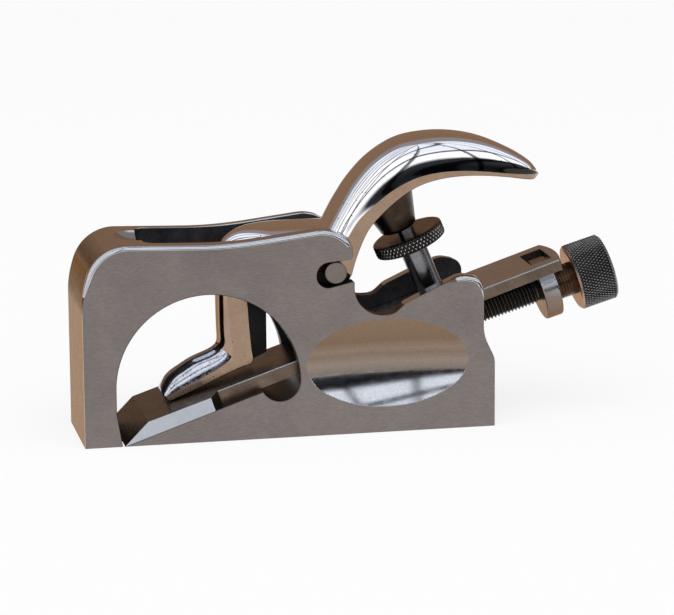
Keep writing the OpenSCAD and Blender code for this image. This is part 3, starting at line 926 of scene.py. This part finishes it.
def make_iron():
    """The iron, drawn in its own frame: u back from the edge, h up from its flat face."""
    place = (SIDE_VIEW @ Matrix.Translation((edge_x, 0, edge_z))
             @ Matrix.Rotation(-bed_angle, 4, "Y"))
    bevel_l = IRON_T / math.tan(BEVEL_ANGLE)
    bow_r = bow_radius(tang_half, END_BOW)
    bow = math.asin(tang_half / bow_r)
    plan = [(0, -half_w), (bevel_l, -half_w), (IRON_FRONT_L, -half_w),
            (IRON_FRONT_L + SHOULDER_L, -tang_half)]
    plan += arc((IRON_L - bow_r, 0), bow_r, -bow, bow, 24)
    plan += [(IRON_FRONT_L + SHOULDER_L, tang_half), (IRON_FRONT_L, half_w),
             (bevel_l, half_w), (0, half_w)]

    def top(u):
        if u < bevel_l:
            return u * math.tan(BEVEL_ANGLE)
        return IRON_T - (u - bevel_l) * (IRON_T - IRON_T_END) / (IRON_L - bevel_l)

    n = len(plan)
    points = [(u, y, 0) for u, y in plan] + [(u, y, top(u)) for u, y in plan]
    second, other = n + 1, 2 * n - 2
    faces = [tuple(range(n))[::-1]]
    faces.append((n, second, other, 2 * n - 1))
    faces.append(tuple(range(second, other + 1)))
    slots = [0, 1, 0]
    for k in range(n - 1):
        faces.append((k, k + 1, n + k + 1, n + k))
        flush = abs(plan[k][1]) == half_w and plan[k][1] == plan[k + 1][1]
        slots.append(2 if flush else 3)
    iron = new_object("iron_blade", points, faces, place,
                      [IRON_FINISH, IRON_BEVEL, IRON_SIDE, TANG_SIDE], slots)
    window_u = IRON_L - WINDOW_BACK
    low, high = window_u - WINDOW_L / 2, window_u + WINDOW_L / 2
    half = WINDOW_W / 2
    hole = [(low, -half), (low, half), (high, half), (high, -half)]
    points = [(u, y, -OVER) for u, y in hole] + [(u, y, IRON_T + OVER) for u, y in hole]
    cutter = new_object("window_cutter", points, rings_to_faces(2, 4), place, [WINDOW_WALL])
    cut_or_join(iron, [cutter], "DIFFERENCE")
    round_tang(iron, place)
    finish_piece(iron, "blade", "iron", sharp=20, bevel=0.1)


# Lever cap

# A row of the casting: a point on its underside, a point on its crest, half its width and
# the height of the flat strip along each side. Handle rows are measured from the pin.
HANDLE_ROWS = [
    (53.0, 19.4, 53.6, 20.4, lever_half - 8.1, 0.9),
    (51.5, 19.2, 52.4, 22.2, lever_half - 5.6, 1.5),
    (48.5, 19.8, 50.3, 24.3, lever_half - 3.4, 1.3),
    (43.5, 20.8, 45.8, 27.1, lever_half - 1.6, 1.0),
    (38.0, 21.5, 39.6, 29.8, lever_half - 0.6, 1.1),
    (32.0, 21.7, 32.5, 31.4, lever_half - 0.1, 1.4),
    (26.3, 21.1, 25.0, 31.6, lever_half, 1.8),
    (21.2, 19.6, 17.7, 30.2, lever_half, 2.2),
    (16.5, 16.8, 11.0, 26.2, lever_half, 2.7),
    (12.3, 13.2, 6.0, 21.0, lever_half, 3.1),
    (9.2, 9.8, 2.5, 15.8, lever_half, 3.6),
    (7.2, 6.0, 0.0, 11.4, lever_half, 4.0),
    (5.6, 1.8, -1.5, 8.3, lever_half, 4.4),
    (4.6, -1.7, -2.5, 4.8, lever_half, 4.6),
]

foot_x = pin_x - FOOT_AHEAD
foot_z = iron_top_z(foot_x) + FOOT_GAP
arm_half = lever_half - 0.15


def from_foot(x, z, crest_x, crest_z, half, strip):
    """A row that is measured from the edge of the foot that bears on the iron."""
    return (foot_x + x - pin_x, foot_z + z - pin_z, foot_x + crest_x - pin_x,
            foot_z + crest_z - pin_z, half, strip)


ARM_ROWS = [
    (2.5, 0.8, 2.5, 10.4, arm_half, 5.6),
    (-2.0, -0.2, -2.0, 10.8, arm_half, 6.9),
    (-8.0, -0.7, -8.0, 10.8, arm_half, 7.4),
    (-14.0, -1.4, -14.0, 10.7, arm_half - 0.2, 7.6),
    (-17.5, -2.6, -19.5, 10.2, arm_half - 2.4, 8.0),
    (-19.7, -4.7, -23.4, 8.8, LEG_HALF + 0.8, 9.0),
    (-20.3, -7.2, -26.2, 6.1, LEG_HALF, 10.0),
    (-20.1, -10.2, -27.4, 1.8, LEG_HALF, 10.0),
    (-19.9, -13.2, -27.5, -4.2, LEG_HALF, 8.4),
    (-19.6, -16.4, -27.5, -10.2, LEG_HALF, 6.6),
    (-19.3, -19.7, -27.4, -15.2, LEG_HALF, 6.0),
    from_foot(20.45, 8.74, 12.2, 14.04, LEG_HALF, 6.0),
    from_foot(17.5, 7.48, 11.6, 12.74, LEG_HALF, 3.6),
    from_foot(13.5, 5.8, 9.9, 11.6, LEG_HALF, 2.4),
    from_foot(8.5, 3.6, 5.7, 9.9, LEG_HALF, 2.0),
    from_foot(5.5, 2.3, 2.8, 8.2, LEG_HALF, 1.9),
    from_foot(3.0, 1.28, 0.5, 6.7, LEG_HALF, 1.8),
    from_foot(1.3, 0.55, -0.9, 5.3, LEG_HALF - 0.1, 1.6),
    from_foot(0, 0, -1.9, 3.6, LEG_HALF - 0.2, 1.4),
    from_foot(-0.7, 0.25, -2.3, 2.45, LEG_HALF - 0.3, 1.0),
    from_foot(-1.3, 0.65, -2.0, 1.45, LEG_HALF - 0.5, 0.4),
]

DOME_STEPS = 32
ROW_STEPS = 14
CORNER_STEPS = 4
UNDER_CORNER = 0.35
DOME_CROWDING = 1.5
HANDLE_SQUARE = 2.9
HANDLE_LEAN = 0.13
ARM_SQUARE = 2.15
ARM_LEAN = 0.12
LEVER_SLOTS = {"dome": 0, "side": 1, "under": 2, "leg": 3, "foot": 4}
LEG_FORWARD = 0.45
LEG_SPAN = (-24.0, -6.5)
TIP_LEAN = 2.0


def section(row, square, lean, tip_lean):
    """One row's points, and the slot of the face that starts at each.

    The dome is round where square is 2 and has fuller shoulders above that, and lean tips
    its sides inwards where they leave the flat strip. With tip_lean, narrow rows lean more.
    """
    half, strip = row[4], row[5]
    foot = np.array(row[:2])
    rise = np.array(row[2:4]) - foot
    height = np.linalg.norm(rise)
    up = rise / height
    corner = min(UNDER_CORNER, strip * 0.8, half * 0.5)
    side = []
    for a in np.linspace(0, math.pi / 2, CORNER_STEPS + 1):
        side.append((half - corner * (1 - math.sin(a)), corner * (1 - math.cos(a)), "side"))
    dome = height - strip
    on_leg = LEG_SPAN[0] < row[1] < LEG_SPAN[1] and -up[0] > LEG_FORWARD
    on_foot = row[1] < LEG_SPAN[0]
    zone = "leg" if on_leg else "foot" if on_foot else "dome"
    lean *= 1 + tip_lean * (1 - half / lever_half)
    if tip_lean:
        lean /= max(up[1], 0.5) ** 2
    for a in np.linspace(0, 1, DOME_STEPS + 1) ** DOME_CROWDING * math.pi / 2:
        out = max(math.cos(a), 0) ** (2 / square)
        climb = math.sin(a) ** (2 / square)
        side.append((half * out - lean * dome * climb * (1 - climb), strip + dome * climb, zone))
    points, zones = [], []
    for y, h, zone in [(-y, h, zone) for y, h, zone in side] + side[:-1][::-1]:
        at = foot + up * h
        points.append((at[0], y, at[1]))
        zones.append(zone)
    # A face has the zone of its first point on the near side, and of its second on the far one.
    owners = zones[:len(side)] + zones[len(side) + 1:] + ["under"]
    return points, [LEVER_SLOTS[zone] for zone in owners]


def loft(name, rows, place, square, lean, tip_lean=0):
    points, slots = [], []
    for row in rows:
        ring, ring_slots = section(row, square, lean, tip_lean)
        points += ring
        slots.append(ring_slots)
    size = len(slots[0])
    face_slots = [slots[i][k] for i in range(len(rows) - 1) for k in range(size)]
    face_slots += [LEVER_SLOTS["side"]] * 2
    return new_object(name, points, rings_to_faces(len(rows), size), place,
                      [CHROME, LEVER_SIDE, LEVER_UNDER, LEG_PAINTED_REFLECTION, FOOT_PAINTED_REFLECTION], face_slots)


BOSS_R = 4.75
BOSS_CORNER = 1.4
BOSS_Z = 3.3
BOSS_TOP = 14
BOSS_FLARE = math.radians(14)
BOSS_SHIFT = 1.2
BOSS_BORE = 13
BOSS_GAP = 0.1
BARREL_INSET = 0.3
PIN_EDGE = 0.25
PIN_GAP = 0.01
at_pin = SIDE_VIEW @ Matrix.Translation((pin_x, 0, pin_z))
RIB_OUTLINE = [(-21, -23.6, 0), (-15.4, -21.1, 0.8), (-15.4, -7, 8), (-10, 1, 0), (-22, 1, 0)]


def make_lever():
    handle = loft("lever_casting", smooth(HANDLE_ROWS, ROW_STEPS), at_pin,
                  HANDLE_SQUARE, HANDLE_LEAN, TIP_LEAN)
    arm = loft("arm", smooth(ARM_ROWS, ROW_STEPS), at_pin, ARM_SQUARE, ARM_LEAN)
    barrel_half = lever_half - BARREL_INSET
    # The barrel takes the black of the underside, which paints shade where it shows through the
    # cheek's slot.
    barrel = prism("barrel", circle(PIN_D / 2 + BARREL_WALL, 96), -barrel_half, barrel_half,
                   at_pin, [LEVER_UNDER])
    rib = prism("rib", rounded(RIB_OUTLINE), -RIB_T / 2, RIB_T / 2, at_pin, [LEVER_UNDER])
    corner = arc((BOSS_R - BOSS_CORNER, BOSS_Z + BOSS_CORNER), BOSS_CORNER,
                 -math.pi / 2, 0, 6)
    flare = (BOSS_TOP - BOSS_Z) * math.tan(BOSS_FLARE)
    profile = [(AXIS_R, BOSS_Z)] + corner + [(BOSS_R + flare, BOSS_TOP), (AXIS_R, BOSS_TOP)]
    boss = turned("boss", profile, ON_CLAMP @ Matrix.Translation((-BOSS_SHIFT, 0, 0)),
                  [BOSS_FINISH])
    cut_or_join(handle, [arm, barrel, rib, boss], "UNION")
    hole = prism("hole", circle(PIN_D / 2 + PIN_GAP, 64), -half_w, half_w, at_pin, [LEVER_UNDER])
    bore_r = CLAMP_THREAD_D / 2 + BOSS_GAP
    bore = turned("bore", [(bore_r, -OVER), (bore_r, BOSS_BORE)], ON_CLAMP, [LEVER_UNDER], 48)
    cut_or_join(handle, [hole, bore], "DIFFERENCE")
    creases = [{LEVER_SLOTS[zone], LEVER_SLOTS["side"]} for zone in ("dome", "foot")]
    finish_piece(handle, "lever", "lever_cap", sharp=32, creases=creases)


def make_pin():
    across = at_pin @ Matrix.Rotation(math.pi / 2, 4, "X")
    r, edge = PIN_D / 2, PIN_EDGE
    profile = [(r - edge, -half_w), (r, edge - half_w), (r, half_w - edge), (r - edge, half_w)]
    pin = turned("lever_pin", profile, across, [PIN_FINISH], 96)
    finish_piece(pin, "lever", "fulcrum_pin")


# Screws

# One turn of a thread: shares of the pitch, with the share of the depth there
THREAD_SHAPE = [(0, 0), (0.2, 0), (0.54, 1), (0.62, 1), (1, 0)]
CREST_FACE = 2


def helical(name, radius, pitch, depth, low, high, matrix, materials, steps=48):
    """A thread between two ends. It rises over its first turn and fades over its last.

    The materials are those of the grooves and the crest.
    """
    turns = math.floor((high - low) / pitch) - 1
    count = turns * steps
    points, faces, slots = [], [], []
    for i in range(count + 1):
        a = 2 * math.pi * i / steps
        fade = min(1, i / steps, (count - i) / steps)
        for share, height in THREAD_SHAPE:
            r = radius - depth * (1 - height * fade)
            points.append((r * math.cos(a), r * math.sin(a), low + pitch * (i / steps + share)))
    n = len(THREAD_SHAPE)
    for i in range(count):
        for k in range(n - 1):
            a = i * n + k
            faces.append((a, a + 1, a + n + 1, a + n))
            slots.append(1 if k == CREST_FACE else 0)
    return new_object(name, points, faces, matrix, materials, slots)


def joined(name, parts):
    """One piece from several meshes that need no boolean."""
    bm = bmesh.new()
    materials = []
    for part in parts:
        place = {}
        for i, material in enumerate(part.data.materials):
            if material not in materials:
                materials.append(material)
            place[i] = materials.index(material)
        start = len(bm.faces)
        bm.from_mesh(part.data)
        bm.faces.ensure_lookup_table()
        for face in bm.faces[start:]:
            face.material_index = place[face.material_index]
    mesh = bpy.data.meshes.new(name)
    bm.to_mesh(mesh)
    bm.free()
    for material in materials:
        mesh.materials.append(material)
    for part in parts:
        bpy.data.objects.remove(part, do_unlink=True)
    return link(name, mesh)


def knurl(angle_share, length_share):
    """The height of a diamond knurl, 0 in its grooves and 1 on its points."""
    rise = abs((angle_share + length_share) % 1 - 0.5) * 2
    fall = abs((angle_share - length_share) % 1 - 0.5) * 2
    return 1 - max(rise, fall)


KNURL_STEPS = 8
KNURL_RISE = 1.25
TIP_SHARE = 0.66


def knurled(name, radius, low, high, around, lead, depth, band, ends, matrix, materials):
    """A knurled rim with plain bands at both edges, closed by the end profiles given.

    The materials are those of the tips, the grooves, the upper end and the lower end.
    """
    columns = around * KNURL_STEPS
    span = high - low - 2 * band
    rows = max(2, round(span / (lead / KNURL_STEPS)))
    lower, upper = ends
    rings = [(r, s, 0) for r, s in lower] + [(radius - depth / 2, low, 0)]
    rings += [(radius, low + band + span * k / rows, 1) for k in range(rows + 1)]
    rings += [(radius - depth / 2, high, 0)] + [(r, s, 0) for r, s in upper]
    points, heights = [], []
    for r, s, cut in rings:
        row = [min(1, KNURL_RISE * knurl(k / KNURL_STEPS, s / lead)) if cut else 0
               for k in range(columns)]
        for k, height in enumerate(row):
            a = 2 * math.pi * k / columns
            here = r - depth * (1 - height) * cut
            points.append((here * math.cos(a), here * math.sin(a), s))
        heights.append(row)
    face_slots = []
    for i in range(len(rings) - 1):
        for k in range(columns):
            after = (k + 1) % columns
            height = (heights[i][k] + heights[i][after] + heights[i + 1][k]
                      + heights[i + 1][after]) / 4
            # Faces low in the knurl take the groove material, which paints shade into the grooves.
            if rings[i][2] and rings[i + 1][2]:
                face_slots.append(0 if height > TIP_SHARE else 1)
            else:
                face_slots.append(3 if i < len(lower) else 2)
    face_slots += [3, 2]
    return new_object(name, points, rings_to_faces(len(rings), columns), matrix, materials,
                      face_slots)


# Points around a knurl, the length of one, its depth and the plain band at each edge
WHEEL_KNURL = (54, 1.6, 0.42, 0.1)
KNOB_KNURL = (64, 1.4, 0.34, 0.12)
CLAMP_PITCH = 0.8
CLAMP_THREAD_DEPTH = 0.42
CLAMP_CORE_DEPTH = 0.45
CLAMP_END_RISE = 0.3
CLAMP_END_EDGE = 0.15
CLAMP_END_SHARE = 0.96
NECK_L = 1.3
NECK_SLOPE = 0.3
DISC_R = 2.35
WHEEL_EDGE = 0.25
ADJUSTER_THREAD_DEPTH = 0.5
ADJUSTER_TIP = (0.4, 0.8)
COLLAR_EDGE = 0.45
HUB_GAP = 0.1
HUB_EDGE = 0.2
HUB_GROOVES = 5
GROOVE_FROM = 0.9
GROOVE_APART = 0.75
KNOB_EDGE = 0.5
# The knob's bright ring face: from and to behind its front, and from which radius outwards
KNOB_FACE_SPAN = (-0.01, 0.45)
KNOB_FACE_FROM = HUB_D / 2 + 0.3
# Chamfers: how far in from the rim and from the face. A groove: how deep, and how far along it.
WHEEL_CHAMFER = ((1.0, 0), (0.45, 0.12))
KNOB_CHAMFER = ((1.1, 0), (0.5, 0.15))
GROOVE = ((0, 0), (0.14, 0.12), (0.14, 0.3), (0, 0.42))


def make_clamp_screw():
    reach = reach_below("clamp_screw", "wheel_turn")
    shank_r = SHANK_D / 2
    thread_r = CLAMP_THREAD_D / 2
    core_r = thread_r - CLAMP_CORE_DEPTH
    neck = WHEEL_T / 2 + NECK_L
    end_r = bow_radius(shank_r, CLAMP_END_RISE)
    profile = [(max(r, AXIS_R), end_r - math.sqrt(end_r ** 2 - r ** 2) - reach)
               for r in np.linspace(0, CLAMP_END_SHARE, 9) * shank_r]
    profile += [(shank_r, CLAMP_END_RISE + CLAMP_END_EDGE - reach), (shank_r, -WHEEL_T / 2),
                (thread_r, -WHEEL_T / 2), (thread_r, neck), (core_r, neck + NECK_SLOPE),
                (core_r, CLAMP_TOP), (AXIS_R, CLAMP_TOP)]
    rod = turned("rod", profile, ON_CLAMP, [GUNMETAL], 96)
    # The thread's grooves take the groove material with painted shade.
    thread = helical("thread", thread_r, CLAMP_PITCH, CLAMP_THREAD_DEPTH, neck, CLAMP_TOP,
                     ON_CLAMP, [KNURL_GROOVE_SHADE, THREAD_CREST])
    screw = joined("clamp_rod", [rod, thread])
    finish_piece(screw, "clamp", "clamp_screw", sharp=35)


def make_clamp_wheel():
    r, t = WHEEL_D / 2, WHEEL_T / 2
    hole = CLAMP_THREAD_D / 2 + RUNNING_GAP
    lower = [(hole, -t)] + [(r - inset, -t + rise) for inset, rise in WHEEL_CHAMFER]
    upper = [(r - inset, t - rise) for inset, rise in WHEEL_CHAMFER[::-1]]
    upper += [(DISC_R, t), (hole, t)]
    wheel = knurled("clamp_knurl", r, -t + WHEEL_EDGE, t - WHEEL_EDGE, *WHEEL_KNURL,
                    (lower, upper), ON_CLAMP, [KNURL_TIP, KNURL_GROOVE_SHADE, WHEEL_FACE, WHEEL_FACE])
    finish_piece(wheel, "wheel", "clamp_wheel", sharp=12)


def make_adjuster_screw():
    reach = reach_below("adjuster_screw", "knob_turn")
    core = ADJUSTER_THREAD_D / 2 - ADJUSTER_THREAD_DEPTH
    tip_in, tip_l = ADJUSTER_TIP
    back = COLLAR_T + HUB_L + KNOB_GRIP
    profile = [(AXIS_R, -reach), (core - tip_in, -reach), (core, -reach + tip_l), (core, 0),
               (JOURNAL_D / 2, 0), (JOURNAL_D / 2, back), (AXIS_R, back)]
    rod = turned("rod", profile, ON_ADJUSTER, [THREAD_BLACK], 48)
    thread = helical("thread", ADJUSTER_THREAD_D / 2, THREAD_PITCH, ADJUSTER_THREAD_DEPTH,
                     -reach + tip_l, 0.5 * THREAD_PITCH, ON_ADJUSTER,
                     [THREAD_BLACK, THREAD_CREST])
    screw = joined("adjuster_rod", [rod, thread])
    finish_piece(screw, "knob", "adjuster_screw", sharp=25)


def make_collar():
    edge = COLLAR_EDGE
    rim = COLLAR_D / 2 - edge
    hole = JOURNAL_D / 2 + RUNNING_GAP
    profile = [(hole, 0), (rim, 0)]
    profile += arc((rim, edge), edge, -math.pi / 2, 0, 5)[1:]
    profile += arc((rim, COLLAR_T - edge), edge, 0, math.pi / 2, 5)
    profile += [(hole, COLLAR_T), (hole, 0)]
    collar = turned("adjuster_ring", profile, ON_ADJUSTER, [COLLAR_PAINTED], 160, hole=True)
    finish_piece(collar, "carriage", "adjuster_collar")


def face_knob_front(knob, front):
    """Gives the ring face and the chamfer behind the hub their own finish."""
    knob.data.materials.append(KNOB_FACE)
    unplaced = ON_ADJUSTER.inverted()
    for face in knob.data.polygons:
        middle = unplaced @ face.center
        in_front = KNOB_FACE_SPAN[0] < middle.z - front < KNOB_FACE_SPAN[1]
        if in_front and middle.xy.length > KNOB_FACE_FROM:
            face.material_index = len(knob.data.materials) - 1


def make_knob():
    r = KNOB_D / 2
    hub = HUB_D / 2
    front = COLLAR_T + HUB_L
    back = front + KNOB_L
    start = COLLAR_T + HUB_GAP
    lower = [(JOURNAL_D / 2, start), (hub - HUB_EDGE, start), (hub, start + HUB_EDGE)]
    for k in range(HUB_GROOVES):
        at = COLLAR_T + GROOVE_FROM + k * GROOVE_APART
        lower += [(hub - depth, at + on) for depth, on in GROOVE]
    lower += [(hub, front)] + [(r - inset, front + rise) for inset, rise in KNOB_CHAMFER]
    upper = [(r - inset, back - rise) for inset, rise in KNOB_CHAMFER[::-1]]
    upper += [(r * 0.5, back), (AXIS_R, back)]
    knob = knurled("adjuster_grip", r, front + KNOB_EDGE, back - KNOB_EDGE, *KNOB_KNURL,
                   (lower, upper), ON_ADJUSTER, [KNOB_TIP, KNOB_GROOVE_SHADE, GUNMETAL, HUB_FINISH])
    face_knob_front(knob, front)
    finish_piece(knob, "knob", "adjuster_knob", sharp=12)


make_body()
make_iron()
make_lever()
make_pin()
make_clamp_screw()
make_clamp_wheel()
make_adjuster_screw()
make_collar()
make_knob()

# Stage, light and camera

FLOOR_SIZE = 6.0
FLOOR_COLOUR = (0.92, 0.92, 0.92)
FLOOR_WHITE = 0.8


def make_floor():
    mesh = bpy.data.meshes.new("floor")
    s = FLOOR_SIZE
    mesh.from_pydata([(-s, -s, 0), (s, -s, 0), (s, s, 0), (-s, s, 0)], [], [(0, 1, 2, 3)])
    floor = link("floor", mesh)
    material, tree = tree_of("floor")
    shader = tree.nodes["Principled BSDF"]
    feed(tree, shader.inputs["Base Color"], FLOOR_COLOUR)
    shader.inputs["Roughness"].default_value = 0.9
    shader.inputs["Specular IOR Level"].default_value = 0.1
    rays = add(tree, "ShaderNodeLightPath")
    seen = math_node(tree, "MAXIMUM", rays.outputs["Is Camera Ray"],
                     math_node(tree, "MAXIMUM", rays.outputs["Is Glossy Ray"],
                               rays.outputs["Is Transmission Ray"]))
    white = add(tree, "ShaderNodeEmission", inputs={"Color": (1, 1, 1, 1), "Strength": 1.0})
    both = add(tree, "ShaderNodeMixShader")
    tree.links.new(math_node(tree, "MULTIPLY", seen, FLOOR_WHITE), both.inputs[0])
    tree.links.new(shader.outputs[0], both.inputs[1])
    tree.links.new(white.outputs[0], both.inputs[2])
    tree.links.new(both.outputs[0], tree.nodes["Material Output"].inputs["Surface"])
    mesh.materials.append(material)


BROWN = (0.26, 0.155, 0.095)
LAVENDER = (0.31, 0.275, 0.29)
PANE = (1.08, 1.13, 1.22)
BRIGHT = (1.36, 1.36, 1.38)
DARK = (0.022, 0.023, 0.026)
# The room from the wall behind, up overhead and down the front, in shares of half a turn
ROOM_BANDS = [(0.0, BROWN), (0.31, BROWN), (0.37, LAVENDER), (0.49, LAVENDER), (0.53, PANE),
              (0.78, PANE), (0.83, BRIGHT), (1.0, BRIGHT)]
WINDOW_START = [(0.50, 0.0), (0.53, 1.0)]
DARK_START = [(0.93, 1.0), (0.957, DARK)]
LEAN_RIGHT = 0.10
LEAN_LEFT = 0.30
BAR_LIGHT = 0.14
BAR_CORE = 0.6
UPRIGHT_BARS = 7
UPRIGHT_BAR_W = 0.15
SLANTED_BARS = (6, 3)
SLANTED_BAR_W = 0.23


def bars(tree, place, width):
    """Thin dark window bars where the place passes a whole number."""
    share = math_node(tree, "FRACT", place)
    return ramp(tree, share, [(0, BAR_LIGHT), (width * BAR_CORE, BAR_LIGHT), (width, 1.0),
                              (1, 1.0)])


def make_world():
    """A room seen in the polish: a brown wall behind, windows over the front, dark below."""
    world = bpy.data.worlds.new("room")
    bpy.context.scene.world = world
    world.use_nodes = True
    tree = world.node_tree
    where = add(tree, "ShaderNodeTexCoord").outputs["Generated"]
    x, y, z = (part_of(tree, where, axis) for axis in "XYZ")

    def times_number(value, number):
        return math_node(tree, "MULTIPLY", value, number)

    def half_turns(rise, run):
        return math_node(tree, "DIVIDE", math_node(tree, "ARCTAN2", rise, run), math.pi)

    pitch = half_turns(z, y)
    around = half_turns(x, times_number(y, -1))
    lean = math_node(tree, "MAXIMUM", times_number(x, LEAN_RIGHT), times_number(x, -LEAN_LEFT))
    share = math_node(tree, "ADD", pitch, lean)
    low = math_node(tree, "ADD", pitch, times_number(x, LEAN_RIGHT))
    slant = math_node(tree, "ADD", times_number(pitch, SLANTED_BARS[0]),
                      times_number(around, SLANTED_BARS[1]))
    both = multiply(tree, bars(tree, times_number(around, UPRIGHT_BARS), UPRIGHT_BAR_W),
                    bars(tree, slant, SLANTED_BAR_W))
    frames = mix(tree, ramp(tree, share, WINDOW_START), (1.0, 1.0, 1.0), both)
    room = multiply(tree, ramp(tree, share, ROOM_BANDS), frames)
    background = tree.nodes["Background"]
    feed(tree, background.inputs["Color"], multiply(tree, room, ramp(tree, low, DARK_START)))
    background.inputs["Strength"].default_value = 1.0


LAMP_PLACE = (-0.29, -1.43, 2.62)
LAMP_TARGET = (0, 0, 0.02)
LAMP_SIZE = (3.2, 2.2)
LAMP_POWER = 46


def make_lamp():
    """One large lamp overhead, which doesn't show in the polish."""
    data = bpy.data.lights.new("overhead", "AREA")
    data.shape = "RECTANGLE"
    data.size, data.size_y = LAMP_SIZE
    data.energy = LAMP_POWER
    lamp = link("overhead", data)
    lamp.location = LAMP_PLACE
    aim = Vector(LAMP_TARGET) - Vector(LAMP_PLACE)
    lamp.rotation_euler = aim.to_track_quat("-Z", "Y").to_euler()
    lamp.visible_glossy = False


CAMERA_PLACE = (-0.14667, -0.79175, 0.20419)
CAMERA_YAW = math.radians(11.474)
CAMERA_PITCH = math.radians(12.248)
CAMERA_ROLL = math.radians(-0.398)
CAMERA_LENS = 179.16
SENSOR_W = 36


def make_camera():
    data = bpy.data.cameras.new("camera")
    data.lens = CAMERA_LENS
    data.sensor_width = SENSOR_W
    data.clip_start = 0.01
    camera = link("camera", data)
    camera.matrix_world = (
        Matrix.Translation(CAMERA_PLACE) @ Matrix.Rotation(-CAMERA_YAW, 4, "Z")
        @ Matrix.Rotation(math.pi / 2 - CAMERA_PITCH, 4, "X")
        @ Matrix.Rotation(CAMERA_ROLL, 4, "Z"))
    bpy.context.scene.camera = camera


make_floor()
make_world()
make_lamp()
make_camera()
bpy.context.scene.view_settings.view_transform = "Standard"
